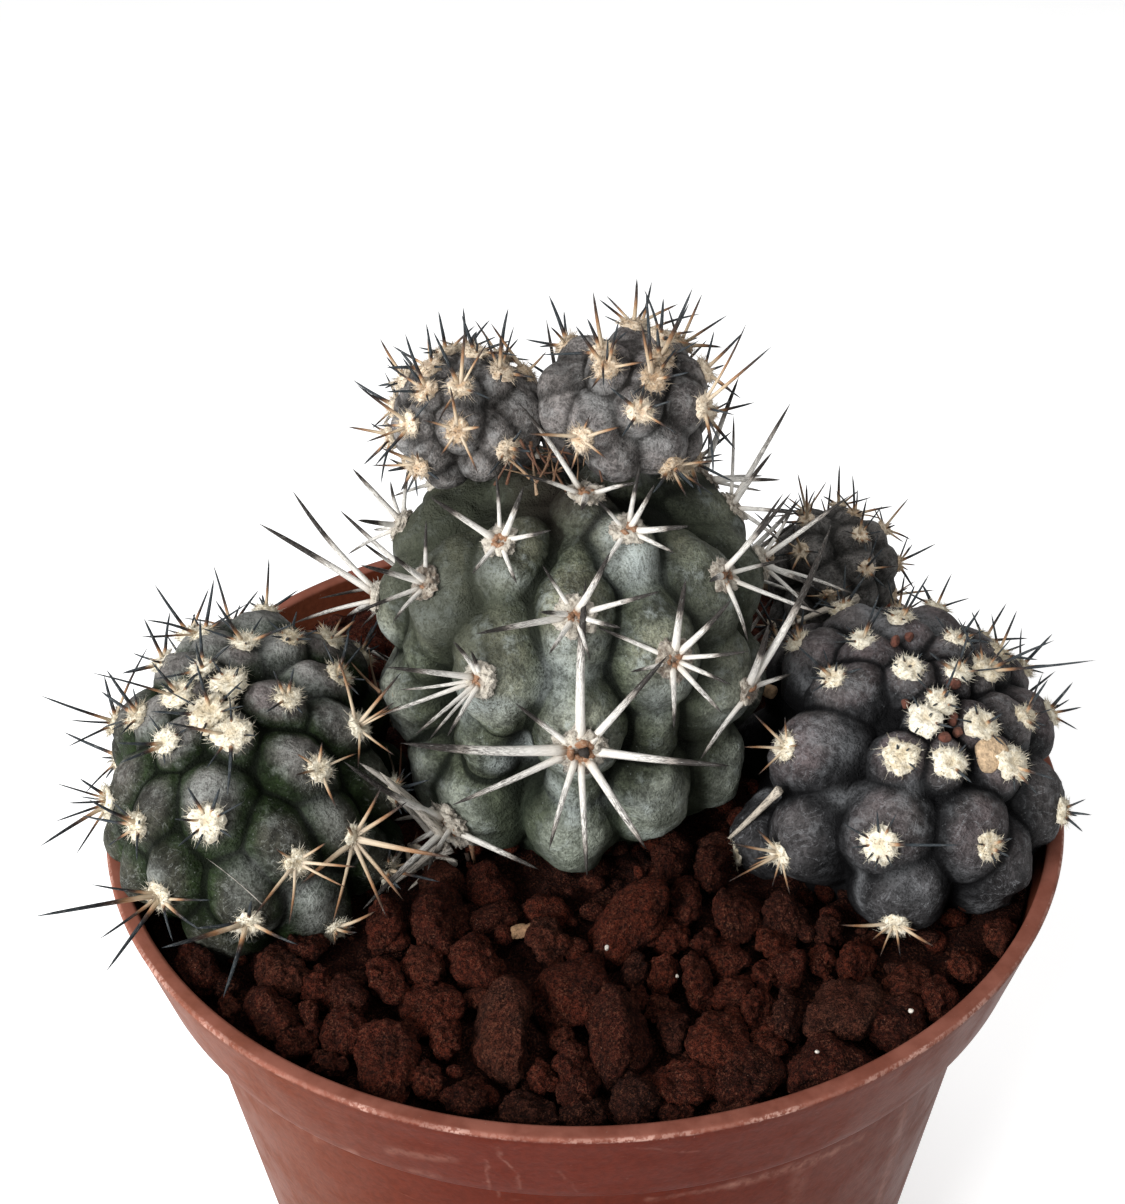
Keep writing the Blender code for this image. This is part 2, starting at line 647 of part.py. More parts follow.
def build_pot():
    """A round nursery pot: flat rim, sloping collar, soft step, tapering body and a holed floor."""
    step_z = RIM_Z - COLLAR_HEIGHT
    inner_rim = RIM_RADIUS - RIM_WIDTH
    profile = (
        (0.0, 0.0),
        (BODY_FOOT_RADIUS, 0.0),
        (BODY_TOP_RADIUS, step_z - 1.6),
        (COLLAR_FOOT_RADIUS, step_z + 0.5),
        (RIM_RADIUS, RIM_Z - 0.4),
        (RIM_RADIUS - 0.4, RIM_Z),
        (inner_rim + 0.4, RIM_Z),
        (inner_rim, RIM_Z - 0.4),
        (wall_inner_radius(step_z), step_z),
        (BODY_TOP_RADIUS - WALL, step_z - 1.8),
        (BODY_FOOT_RADIUS - WALL, FLOOR),
        (0.0, FLOOR),
    )
    pot = lathe("pot", profile, POT_SIDES)
    holes = []
    for number in range(DRAIN_HOLES):
        turn = 2.0 * math.pi * number / DRAIN_HOLES
        hole = lathe("hole", ((0.0, -2.0), (DRAIN_HOLE_RADIUS, -2.0),
                              (DRAIN_HOLE_RADIUS, FLOOR + 2.0), (0.0, FLOOR + 2.0)), 12)
        hole.data.transform(Matrix.Translation(
            (DRAIN_RING_RADIUS * math.cos(turn) * MM, DRAIN_RING_RADIUS * math.sin(turn) * MM, 0.0)))
        holes.append(hole)
    boolean(pot, holes, "DIFFERENCE")
    return pot


def build_head(head, earlier):
    """The flesh of one head, bare."""
    directions, faces = sphere_directions(6)
    reach = clip_reach(head, directions, head.body(directions), earlier)
    return new_object(head.name, head.centre + directions * reach[:, None], faces)


def pot_clearance():
    """A ring a little larger than the pot's wall, to trim the heads that press on it."""
    inner = NARROWEST_INSIDE - HEAD_GAP
    outer = RIM_RADIUS + 20.0
    top = RIM_Z + HEAD_GAP
    foot = FLOOR
    return lathe("ring", ((inner, foot), (outer, foot), (outer, top), (inner, top), (inner, foot)),
                 POT_SIDES)


def areole_pad(areole, radius):
    """A low five-sided cushion that the spines stand on."""
    first = unit(np.cross(areole.normal, (0.31, 0.17, 0.94)))
    second = np.cross(areole.normal, first)
    points = []
    for height, width in ((-1.2, radius), (PAD_HEIGHT, radius * 0.8)):
        for side in range(PAD_SIDES):
            turn = 2.0 * math.pi * side / PAD_SIDES
            points.append(areole.spot + areole.normal * height
                          + (first * math.cos(turn) + second * math.sin(turn)) * width)
    faces = [tuple(reversed(range(PAD_SIDES))), tuple(range(PAD_SIDES, 2 * PAD_SIDES))]
    for side in range(PAD_SIDES):
        after = (side + 1) % PAD_SIDES
        faces.append((side, after, PAD_SIDES + after, PAD_SIDES + side))
    return new_object("pad", points, faces)


def needle(root, tip, radius):
    """A three-sided spine from a sunk root to its point."""
    along = unit(tip - root)
    first = unit(np.cross(along, (0.23, 0.61, 0.75)))
    second = np.cross(along, first)
    points = []
    for side in range(3):
        turn = 2.0 * math.pi * side / 3
        points.append(root + (first * math.cos(turn) + second * math.sin(turn)) * radius)
    points.append(tip)
    return new_object("spine", points, [(2, 1, 0), (0, 1, 3), (1, 2, 3), (2, 0, 3)])


def seen_tip(areole, pixel, length=0.0):
    """The point of a spine that a pixel shows, at a length from its areole, leaning out."""
    ray = sight_line(pixel)
    nearest = EYE + ray * ((areole.spot - EYE) @ ray)
    miss = np.linalg.norm(nearest - areole.spot)
    reach = length if length else miss * SEEN_TIP_SLANT
    slack = math.sqrt(max(0.0, reach * reach - miss * miss))
    return nearest - ray * slack


def planned_tips(head, areole, count):
    """Tips of the strongest spines of an areole: one outward, the others spread round it."""
    seen = SEEN_SPINES.get((head.name, areole.key))
    if seen:
        return [seen_tip(areole, pixel, length) for pixel, length in seen[:count + 1]]
    seen = SEEN_TIPS.get((head.name, areole.key))
    if seen:
        return [seen_tip(areole, pixel) for pixel in seen[:count + 1]]
    up = unit(head.axis - areole.normal * (areole.normal @ head.axis) + np.array((0, 1e-4, 0)))
    aside = np.cross(areole.normal, up)
    tips = []
    for number in range(count):
        length = head.spine_length * head.draw.uniform(0.8, 1.1)
        if number == 0:
            tilt = math.radians(25.0)
            turn = head.draw.uniform(-0.4, 0.4)
        else:
            tilt = math.radians(head.draw.uniform(55.0, 68.0))
            turn = 2.0 * math.pi * (number - 0.5) / (count - 1) + head.draw.uniform(-0.6, 0.6)
            length *= 0.85
        flat = up * math.cos(turn) + aside * math.sin(turn)
        tips.append(areole.spot + (areole.normal * math.cos(tilt) + flat * math.sin(tilt)) * length)
    return tips


def segment_gap(first, second):
    """Least distance between two spines, sampled along both."""
    shares = np.linspace(0.0, 1.0, 14)
    a = first[0] + (first[1] - first[0]) * shares[:, None]
    b = second[0] + (second[1] - second[0]) * shares[:, None]
    return np.min(np.linalg.norm(a[:, None, :] - b[None, :, :], axis=2))


def spine_is_clear(head, spot, tip, placed):
    """True if a spine keeps off the other heads, their spines, the grit and the pot."""
    points = spot + (tip - spot) * np.linspace(0.0, 1.0, 25)[:, None]
    for other in HEADS.values():
        if other is not head and np.min(other.depth_outside(points)) < SPINE_GAP + 0.3:
            return False
    # The grit's hole for the stem leaves a spine's root free
    points = points[np.linalg.norm(points - spot, axis=1) > POCKET_GAP]
    radial = np.hypot(points[:, 0], points[:, 1])
    over_grit = radial < wall_inner_radius(RIM_Z) - SPINE_GAP
    if np.any(over_grit & (points[:, 2] < grit_height(points) + SPINE_GAP)):
        return False
    if np.any(~over_grit & (radial < RIM_RADIUS + 1.0) & (points[:, 2] < RIM_Z + SPINE_GAP)
              & (points[:, 2] > RIM_Z - 20.0)):
        return False
    for name, root, end in placed:
        if name != head.name and segment_gap((spot, tip), (root, end)) < 1.5:
            return False
    return True


def bent_clear(head, areole, tip, placed):
    """The tip as planned, or turned outward and upward until the spine is clear."""
    planned = tip - areole.spot
    length = np.linalg.norm(planned)
    for outward, upward, share in ((0.0, 0.0, 1.0), (0.5, 0.0, 1.0), (0.4, 0.5, 0.95),
                                   (0.8, 0.8, 0.9), (0.6, 1.4, 0.8), (1.0, 0.2, 0.6)):
        turned = unit(planned / length + areole.normal * outward + np.array((0, 0, upward)))
        trial = areole.spot + turned * length * share
        if spine_is_clear(head, areole.spot, trial, placed):
            return trial
    return None


def open_areoles(head):
    """The areoles that stand clear of the grit, the pot and the other heads."""
    return [areole for areole in head.areoles
            if areole.key not in BARE_TUBERCLES
            and areole.spot[2] > LEAST_AREOLE_Z and not in_another_head(head, areole.spot, 1.5)
            and not in_pot_wall(areole.spot[None, :], 1.5)[0]]


def spine_parts(head, placed):
    """The spines of one head, each a small closed solid sunk into the flesh."""
    parts = []
    for areole in open_areoles(head):
        for tip in planned_tips(head, areole, SPINES_PER_AREOLE[head.name]):
            tip = bent_clear(head, areole, tip, placed)
            if tip is None:
                continue
            placed.append((head.name, areole.spot, tip))
            root = areole.spot - areole.normal * SPINE_ROOT_DEPTH
            parts.append(needle(root, tip, head.spine_thickness * 0.6))
    return parts


def stone_list():
    """Grit: the stones that the photo shows, then smaller ones in every gap round them."""
    stones = []
    for across, down, width, height, turn in SEEN_STONES:
        ray = sight_line((across, down))
        middle = seen_at_height((across, down), SOIL_Z + 1.6)
        scale = STONE_FULLNESS * (middle - EYE) @ EYE_FORWARD / LENS_PIXELS
        half_width = width * scale / 2.0
        half_height = height * scale / 2.0
        angle = math.radians(turn)
        first = EYE_RIGHT * math.cos(angle) + EYE_UP * math.sin(angle)
        second = EYE_UP * math.cos(angle) - EYE_RIGHT * math.sin(angle)
        level = unit(np.array((ray[0], ray[1], -0.25)))
        depth = 0.75 * (half_width + half_height)
        stones.append((middle, np.array((first * half_width, second * half_height, -level * depth))))
    draw = np.random.default_rng(STONE_SEED)
    for step in range(FILL_STONES):
        reach = 43.5 * math.sqrt((step + 0.5) / FILL_STONES)
        turn = GOLDEN_TURN * step
        size = draw.uniform(2.4, 3.6)
        middle = np.array((reach * math.cos(turn), reach * math.sin(turn), SOIL_Z + 0.4))
        clear = all(np.linalg.norm((middle - other)[:2]) > 0.75 * size + 0.6 * np.max(
            np.linalg.norm(axes, axis=1)) for other, axes in stones)
        covered = any(head.depth_outside(middle[None, :])[0] < 0.0 for head in HEADS.values())
        if clear and not covered:
            spin = draw.uniform(0.0, math.pi)
            first = np.array((math.cos(spin), math.sin(spin), 0.0))
            second = np.array((-math.sin(spin), math.cos(spin), 0.0))
            third = np.array((0.0, 0.0, 1.0))
            stones.append((middle, np.array((first * size * 1.2, second * size, third * size))))
    return stones


STONES = stone_list()


def stone_tops(points):
    """Height of the highest stone over each point, or a low value where there is none."""
    top = np.full(len(points), -1000.0)
    for middle, axes in STONES:
        turned = np.linalg.inv(axes)
        start = (points[:, :2] - middle[:2]) @ turned[:2]
        rise = turned[2]
        a = rise @ rise
        b = start @ rise
        root = b * b - a * (np.sum(start ** 2, axis=1) - 1.0)
        height = middle[2] + (-b + np.sqrt(np.maximum(root, 0.0))) / a
        top = np.where(root > 0.0, np.maximum(top, height), top)
    return top


def grit_height(points):
    """Height of the top of the grit under each point."""
    return np.maximum(stone_tops(points), SOIL_Z + GRIT_HOLLOW_RISE)


def build_soil():
    """Grit that fills the pot: a plain body with stones on top and a hole for each stem."""
    step_z = RIM_Z - COLLAR_HEIGHT
    edge = wall_inner_radius(SOIL_Z) - SOIL_GAP
    rings = [(edge * number / GRIT_RINGS, None) for number in range(1, GRIT_RINGS + 1)]
    rings += [
        (NARROWEST_INSIDE - SOIL_GAP, step_z + 0.6),
        (BODY_TOP_RADIUS - WALL - SOIL_GAP, step_z - 1.9),
        (BODY_FOOT_RADIUS - WALL - SOIL_GAP, FLOOR + SOIL_GAP),
    ]
    turns = 2.0 * math.pi * np.arange(GRIT_SECTORS) / GRIT_SECTORS
    around = np.stack((np.cos(turns), np.sin(turns), np.zeros(GRIT_SECTORS)), axis=1)
    points = [np.zeros((1, 3))]
    points[0][0, 2] = grit_height(points[0])[0]
    for radius, height in rings:
        ring = around * radius
        ring[:, 2] = grit_height(ring) if height is None else height
        points.append(ring)
    points.append(np.array(((0.0, 0.0, FLOOR + SOIL_GAP),)))
    points = np.concatenate(points)
    last = len(points) - 1
    faces = []
    for side in range(GRIT_SECTORS):
        after = (side + 1) % GRIT_SECTORS
        faces.append((0, 1 + side, 1 + after))
        for number in range(len(rings) - 1):
            inner = 1 + number * GRIT_SECTORS
            outer = inner + GRIT_SECTORS
            faces.append((inner + side, outer + side, outer + after, inner + after))
        outer = 1 + (len(rings) - 1) * GRIT_SECTORS
        faces.append((outer + side, last, outer + after))
    soil = new_object("soil", points, faces)
    decimate(soil, SOIL_TRIANGLES)
    pockets = []
    directions, faces = sphere_directions(3)
    for head in HEADS.values():
        if head.foot_z > SOIL_Z or head.centre[2] - head.foot > SOIL_Z + 5.0:
            continue
        reach = head.egg(directions) + POCKET_GAP
        falling = np.minimum(directions[:, 2], -1e-6)
        floor_reach = (head.foot_z - POCKET_DEPTH - head.centre[2]) / falling
        reach = np.where(directions[:, 2] < 0.0, np.minimum(reach, floor_reach), reach)
        pockets.append(new_object("pocket", head.centre + directions * reach[:, None], faces))
    boolean(soil, pockets, "DIFFERENCE")
    keep_largest(soil)
    return soil


# Colour, roughness and metallic value of each piece
LOOKS = {
    "pot": ((0.30, 0.10, 0.065), 0.45, 0.0),
    "soil": ((0.085, 0.030, 0.022), 0.95, 0.0),
    "main_stem": ((0.130, 0.150, 0.115), 0.65, 0.0),
    "head_left": ((0.105, 0.115, 0.090), 0.65, 0.0),
    "head_right": ((0.090, 0.080, 0.085), 0.65, 0.0),
    "head_top_left": ((0.070, 0.062, 0.065), 0.65, 0.0),
    "head_top_right": ((0.070, 0.060, 0.065), 0.65, 0.0),
    "head_back_right": ((0.060, 0.055, 0.055), 0.65, 0.0),
}

HEADS_AT_THE_WALL = ("head_left", "head_right", "head_back_right")
SOIL_TRIANGLES = 3600
HEAD_TRIANGLES = {
    "main_stem": 1500, "head_left": 1100, "head_right": 1050,
    "head_top_left": 520, "head_top_right": 600, "head_back_right": 520,
}


def finish_object(obj, origin, parent):
    """Give a piece its material, its own origin and its parent."""
    colour, roughness, metallic = LOOKS[obj.name]
    material = bpy.data.materials.new(obj.name)
    material.use_nodes = True
    shader = material.node_tree.nodes["Principled BSDF"]
    shader.inputs["Base Color"].default_value = (*colour, 1.0)
    shader.inputs["Roughness"].default_value = roughness
    shader.inputs["Metallic"].default_value = metallic
    obj.data.materials.clear()
    obj.data.materials.append(material)
    place = Vector(origin) * MM
    obj.data.transform(Matrix.Translation(-place))
    obj.data.shade_smooth()
    obj.data.set_sharp_from_angle(angle=math.radians(40.0))
    obj.location = place
    obj.parent = parent


def main():
    remove_objects(bpy.data.objects)
    clump = bpy.data.objects.new("clump", None)
    bpy.context.scene.collection.objects.link(clump)
    finish_object(build_pot(), (0.0, 0.0, 0.0), clump)
    finish_object(build_soil(), (0.0, 0.0, SOIL_Z), clump)
    for head in HEADS.values():
        if head.name == "main_stem":
            place_rib_areoles(head)
        else:
            place_spiral_areoles(head)
        shape_beads(head)
    placed = []
    earlier = []
    for head in HEADS.values():
        flesh = build_head(head, earlier)
        decimate(flesh, 3 * HEAD_TRIANGLES[head.name])
        pad_radius = 0.9 + 0.045 * head.radius
        boolean(flesh, [areole_pad(areole, pad_radius) for areole in open_areoles(head)], "UNION")
        decimate(flesh, HEAD_TRIANGLES[head.name])
        if head.name in HEADS_AT_THE_WALL:
            boolean(flesh, [pot_clearance()], "DIFFERENCE")
        boolean(flesh, spine_parts(head, placed), "UNION")
        keep_largest(flesh)
        finish_object(flesh, head.centre, clump)
        earlier.append(head)


main()
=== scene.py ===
"""Looks of the copiapoa clump: fine flesh, spines, wool, lava grit and the scuffed nursery pot.

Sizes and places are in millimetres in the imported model's frame and are scaled once, where a mesh
is made. The heads, the spines' tips and the stones follow the same rules as the solids, so each
fine piece lies where its solid does.
"""

import math

import bmesh
import bpy
import numpy as np
from mathutils import Matrix, Vector


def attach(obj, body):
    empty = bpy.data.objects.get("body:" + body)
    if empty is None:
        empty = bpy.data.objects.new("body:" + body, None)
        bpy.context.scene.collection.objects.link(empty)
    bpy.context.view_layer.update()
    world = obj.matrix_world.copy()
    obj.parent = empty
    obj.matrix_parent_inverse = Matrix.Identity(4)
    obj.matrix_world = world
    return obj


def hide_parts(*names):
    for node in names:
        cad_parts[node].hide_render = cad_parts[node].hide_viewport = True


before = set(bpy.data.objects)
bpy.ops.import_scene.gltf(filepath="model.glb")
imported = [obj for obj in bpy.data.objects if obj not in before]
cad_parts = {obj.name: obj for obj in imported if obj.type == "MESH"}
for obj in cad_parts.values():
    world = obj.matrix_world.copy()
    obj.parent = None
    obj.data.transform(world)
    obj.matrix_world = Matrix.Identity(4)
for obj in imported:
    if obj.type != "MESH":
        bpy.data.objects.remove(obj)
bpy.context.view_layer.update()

MM = 0.001

# Pot, millimetres
RIM_Z = 85.0
RIM_RADIUS = 50.0
RIM_WIDTH = 1.65
COLLAR_FOOT_RADIUS = 47.6
COLLAR_HEIGHT = 10.6
BODY_TOP_RADIUS = 44.6
BODY_FOOT_RADIUS = 35.0
# Where the collar ends, and how far under and over that the soft step runs
STEP_Z = RIM_Z - COLLAR_HEIGHT
STEP_BELOW = 1.6
STEP_ABOVE = 0.5
WALL = 1.2
FLOOR = 1.6
DRAIN_HOLES = 6
DRAIN_RING_RADIUS = 21.0
DRAIN_HOLE_RADIUS = 3.2

# Grit
SOIL_Z = 80.6
SOIL_GAP = 0.35
STONE_FULLNESS = 1.12
# Stones seen in the photo: height of their middles over the grit, the upward part of the way that
# their depth runs from the eye, and their half depth as a share of their two half sizes together
SEEN_STONE_RISE = 1.6
SEEN_STONE_DIP = -0.25
SEEN_STONE_DEPTH = 0.75
# Stones between them: how many are tried, out to where, their half sizes, height and length, and
# the shares of their own and of the other stone's size that they keep off it
FILL_STONES = 240
FILL_REACH = 43.5
FILL_SIZES = (2.4, 3.6)
FILL_RISE = 0.4
FILL_LENGTH = 1.2
FILL_ROOM = (0.75, 0.6)
GRIT_HOLLOW_RISE = 1.3

# The clear space left between two separate pieces
HEAD_GAP = 0.4
POCKET_GAP = 1.1
SPINE_GAP = 0.5
SPINE_HEAD_GAP = 0.8
# Spines as near outside the rim as this, down to this far under it, have to pass over it
RIM_NEAR = 1.0
RIM_DROP = 20.0
# How far an areole's place keeps off the other heads, and how far it does if it is to carry
# wool and spines, also off the pot; least distance between spines of two heads
HEAD_MARGIN = 0.5
AREOLE_MARGIN = 1.5
CROSSING_GAP = 1.5

# The photo: where the eye stood, which way it looked, and its lens in pixels
EYE = np.array((-1.83, -141.62, 196.34))
EYE_PITCH = math.radians(32.677)
EYE_ROLL = math.radians(-1.185)
LENS_PIXELS = 1672.0
PHOTO_TALL = 1204.0
PHOTO_MIDDLE = (562.5, 602.0)
FILM_WIDTH = 36.0

GOLDEN_TURN = math.pi * (3.0 - math.sqrt(5.0))
# Added where a direction along the flesh would be nought at the very top of a stem
NUDGE = 1e-4

# Seeds of the random draws, so that every run makes the same plant
STONE_SEED = 11
TONE_SEED = 500
LUMP_SEED = 20
WRINKLE_SEED = 21
SPINE_SEED = 800
COLLAR_SEED = 5
WOOL_SEED = 3000
CUSHION_SEED = 40
LITTER_SEED = 91
GRIT_SEED = 61
BED_SEEDS = (71, 72)


def unit(vector):
    return vector / np.linalg.norm(vector)


def units(rows):
    """Each row of an array at length one."""
    return rows / np.linalg.norm(rows, axis=1)[:, None]


def off_axis(points):
    """Distance of points from the pot's axis."""
    return np.hypot(points[:, 0], points[:, 1])


def eye_axes():
    """Right, up and forward of the eye."""
    forward = np.array((0.0, math.cos(EYE_PITCH), -math.sin(EYE_PITCH)))
    level_up = np.array((0.0, math.sin(EYE_PITCH), math.cos(EYE_PITCH)))
    level_right = np.array((1.0, 0.0, 0.0))
    right = level_right * math.cos(EYE_ROLL) + level_up * math.sin(EYE_ROLL)
    up = level_up * math.cos(EYE_ROLL) - level_right * math.sin(EYE_ROLL)
    return right, up, forward


EYE_RIGHT, EYE_UP, EYE_FORWARD = eye_axes()


def sight_line(pixel):
    """Direction from the eye through one pixel of the photo."""
    across = (pixel[0] - PHOTO_MIDDLE[0]) / LENS_PIXELS
    down = (pixel[1] - PHOTO_MIDDLE[1]) / LENS_PIXELS
    return unit(EYE_FORWARD + EYE_RIGHT * across - EYE_UP * down)


def sight_points(pixel, near, far, count):
    """Evenly spaced points on the eye's line through a pixel."""
    return EYE + np.linspace(near, far, count)[:, None] * sight_line(pixel)


def first_inside(depths):
    """Which point of a line is the first one inside, or the nearest where none is."""
    inside = np.nonzero(depths < 0.0)[0]
    return inside[0] if len(inside) else int(np.argmin(depths))


def turned_in_view(degrees):
    """Two directions square to the eye's, across and up once they are turned by an angle."""
    angle = math.radians(degrees)
    return (EYE_RIGHT * math.cos(angle) + EYE_UP * math.sin(angle),
            EYE_UP * math.cos(angle) - EYE_RIGHT * math.sin(angle))


def seen_at_height(pixel, height):
    """The point at one height that a pixel shows."""
    ray = sight_line(pixel)
    return EYE + ray * (height - EYE[2]) / ray[2]


# Creases are this share of their full depth at the growing point, and are full this many degrees
# away from it
APEX_CREASE = 0.3
CREASE_TURN = 60.0


class Head:
    """One stem: an egg that the tubercle tips reach, with a core and a bead for each tubercle."""

    def __init__(self, name, centre, radius, crown, foot, lean, stretch, squareness, core_depth,
                 apex_spacing, side_spacing, foot_z, spine_length, seed):
        self.name = name
        self.centre = np.array(centre)
        self.radius = radius
        self.crown = crown
        self.foot = foot
        self.axis = unit(np.array((lean[0], lean[1], 1.0)))
        self.stretch = stretch
        self.squareness = squareness
        self.core_depth = core_depth
        self.apex_spacing = apex_spacing
        self.side_spacing = side_spacing
        self.foot_z = foot_z
        self.spine_length = spine_length
        self.draw = np.random.default_rng(seed)
        self.side = unit(np.cross((0.0, 1.0, 0.0), self.axis))
        self.front = np.cross(self.axis, self.side)
        self.areoles = []
        self.beads = []
        self.bead_groups = []

    def egg(self, directions):
        """Distance from the centre to the tip envelope along unit directions."""
        along = directions @ self.axis
        across = np.hypot(directions @ self.side, directions @ self.front / self.stretch)
        upper = along > 0.0
        power = np.where(upper, self.squareness, 2.0)
        pole = np.where(upper, self.crown, self.foot)
        total = (across / self.radius) ** power + (np.abs(along) / pole) ** power
        return total ** (-1.0 / power)

    def egg_point(self, direction):
        direction = unit(direction)
        return self.centre + direction * self.egg(direction[None, :])[0]

    def egg_normal(self, point):
        """Outward direction of the envelope at a point on it."""
        out = unit(point - self.centre)
        first = unit(np.cross(out, self.axis + np.array((0.013, 0.007, 0.0))))
        second = np.cross(out, first)
        step = 0.01
        ahead = self.egg_point(out + first * step) - self.egg_point(out - first * step)
        aside = self.egg_point(out + second * step) - self.egg_point(out - second * step)
        normal = unit(np.cross(ahead, aside))
        return normal if normal @ out > 0.0 else -normal

    def depth_outside(self, points):
        """How far points stand outside the envelope, measured from the centre."""
        away = points - self.centre
        distance = np.linalg.norm(away, axis=-1)
        return distance - self.egg(away / distance[..., None])

    def seen_on_egg(self, pixel):
        """Where the eye's line through a pixel meets the envelope, or passes it closest."""
        points = sight_points(pixel, 90.0, 240.0, 3001)
        pick = first_inside(self.depth_outside(points))
        return self.egg_point(points[pick] - self.centre)

    def core(self, directions):
        """The flesh under the tubercles, shallower near the growing point."""
        along = np.clip(directions @ self.axis, -1.0, 1.0)
        openness = np.clip(np.arccos(along) / math.radians(CREASE_TURN), 0.0, 1.0)
        depth = self.core_depth * (APEX_CREASE + (1.0 - APEX_CREASE) * openness)
        return self.egg(directions) - depth

    def bead_terms(self, directions):
        """For each bead, what its far side along unit directions is worked out from."""
        for middle, axes in self.beads:
            start = -(axes @ (middle - self.centre))
            turned = directions @ axes.T
            a = np.sum(turned ** 2, axis=1)
            b = turned @ start
            yield a, b, b * b - a * (start @ start - 1.0)

    def cut_at_foot(self, directions, reach):
        """The reach, shortened where the stem is cut off under the grit."""
        falling = np.minimum(directions[:, 2], -1e-6)
        floor_reach = (self.foot_z - self.centre[2]) / falling
        return np.where(directions[:, 2] < 0.0, np.minimum(reach, floor_reach), reach)

    def body(self, directions):
        """Distance from the centre to the flesh along unit directions."""
        reach = self.core(directions)
        for a, b, root in self.bead_terms(directions):
            far = (-b + np.sqrt(np.maximum(root, 0.0))) / a
            reach = np.maximum(reach, np.where(root > 0.0, far, 0.0))
        return self.cut_at_foot(directions, reach)

    def down(self, normal):
        """Down the stem, along flesh that faces this way."""
        return unit(-self.axis + normal * (normal @ self.axis) + np.array((NUDGE, 0.0, 0.0)))

    def add_bead(self, tip, normal, across, along, depth, group):
        """An ellipsoid whose outermost point is the tip, its long side down the stem."""
        down = self.down(normal)
        aside = np.cross(normal, down)
        middle = tip - normal * depth
        axes = np.array((normal / depth, down / along, aside / across))
        self.beads.append((middle, axes))
        self.bead_groups.append(group)


class Areole:
    """A woolly cushion on the flesh that spines grow from."""

    def __init__(self, spot, normal, key):
        self.spot = spot
        self.normal = normal
        self.key = key


# Heads, millimetres. Centre, side radius, height of the crown above the centre, the lower
# half's polar radius, lean, how much deeper than wide it is, how square the crown is, depth of
# the creases, spacing of the areoles at the apex and at the side, the level where the stem is
# cut off under the grit, length of its spines, and the seed of its draw.
HEAD_SIZES = {
    "main_stem": ((-0.8, 2.5, 99.0), 20.3, 20.2, 38.0, (0.0, 0.0), 1.0, 2.5, 6.0, 8.0, 12.0, 70.0, 12.5, 1),
    "head_left": ((-33.7, -5.9, 88.0), 15.6, 15.7, 28.0, (-0.16, -0.15), 1.3, 2.0, 5.6, 3.4, 8.2, 75.0,
                  6.5, 2),
    "head_right": ((32.6, -4.5, 86.6), 17.5, 16.0, 34.0, (0.26, -0.12), 1.18, 2.0, 5.4, 3.6, 9.2, 75.0,
                   5.6, 3),
    "head_top_left": ((-11.0, 6.0, 123.2), 7.5, 6.7, 7.0, (-0.25, 0.0), 1.0, 2.0, 1.9, 2.8, 4.9, 60.0,
                      4.6, 4),
    "head_top_right": ((4.8, 6.2, 124.2), 8.6, 7.8, 8.1, (0.12, -0.05), 1.0, 2.0, 2.2, 3.0, 5.6, 60.0,
                       5.6, 5),
    "head_back_right": ((29.5, 22.5, 95.0), 7.4, 7.2, 18.0, (0.1, 0.0), 1.0, 2.0, 2.1, 2.9, 5.6, 76.0,
                        5.0, 6),
}
HEADS = {name: Head(name, *sizes) for name, sizes in HEAD_SIZES.items()}

# The young offsets: their wool is tan, and each areole carries the same number of spines, also
# where the photo shows fewer
SMALL_HEADS = ("head_top_left", "head_top_right", "head_back_right")

# Areoles seen in the photo, by pixel
SEEN_AREOLES = {
    "head_left": (
        (202, 632), (114, 721), (178, 694), (229, 683), (288, 697), (165, 742), (210, 713),
        (232, 734), (320, 769), (359, 726), (107, 801), (207, 822), (159, 897), (297, 863),
        (355, 839), (248, 924), (336, 932), (266, 606), (331, 638)),
    "head_right": (
        (833, 677), (909, 668), (987, 668), (785, 747), (901, 757), (949, 763), (925, 720),
        (982, 725), (941, 701), (1012, 763), (779, 855), (880, 845), (990, 847), (1050, 712),
        (1063, 812), (895, 925), (1020, 891), (936, 606)),
    "head_top_left": (
        (460, 387), (425, 390), (409, 425), (458, 430), (420, 465), (508, 449), (490, 478),
        (525, 374)),
    "head_top_right": (
        (640, 411), (581, 438), (546, 379), (606, 368), (653, 379), (661, 358), (704, 406),
        (672, 467), (602, 352), (608, 478), (546, 449)),
    "head_back_right": (
        (801, 551), (860, 535), (866, 569), (839, 505), (801, 502), (906, 602), (901, 563)),
}

# The main stem's twelve ribs, counted from the one that faces the eye. Their areoles stand at
# these heights in degrees above the stem's widest place, odd and even ribs in turn.
RIB_COUNT = 12
# The most that an areole strays from its rib and its row, degrees
RIB_STRAY = 1.5
# Only these ribs carry an areole at the crown
CROWN_HEIGHT = 70.0
CROWN_RIBS = (0, 4, 8)
# The neck between two tubercles of a rib: how deep it lies, and its half sizes across, along and
# into the flesh
NECK_DEPTH = 1.9
NECK_SIZES = (3.3, 6.0, 4.2)
EVEN_ROWS = (76.0, 43.0, 5.0, -30.0)
ODD_ROWS = (62.0, 24.0, -14.0)
SEEN_ON_RIBS = {
    (0, 0): (586, 494), (0, 1): (575, 615), (0, 2): (580, 750), (0, 3): (573, 858),
    (1, 0): (628, 530), (1, 1): (675, 660), (1, 2): (668, 820),
    (2, 1): (723, 575), (2, 2): (748, 690), (3, 0): (738, 502),
    (11, 0): (500, 541), (11, 1): (480, 680), (11, 2): (450, 825),
    (10, 0): (475, 515), (10, 1): (425, 583), (10, 2): (385, 705),
    (9, 0): (395, 520), (9, 1): (345, 590),
}

# Tubercles of the main stem that the photo shows with no areole on them
BARE_TUBERCLES = ((0, 3), (1, 2))

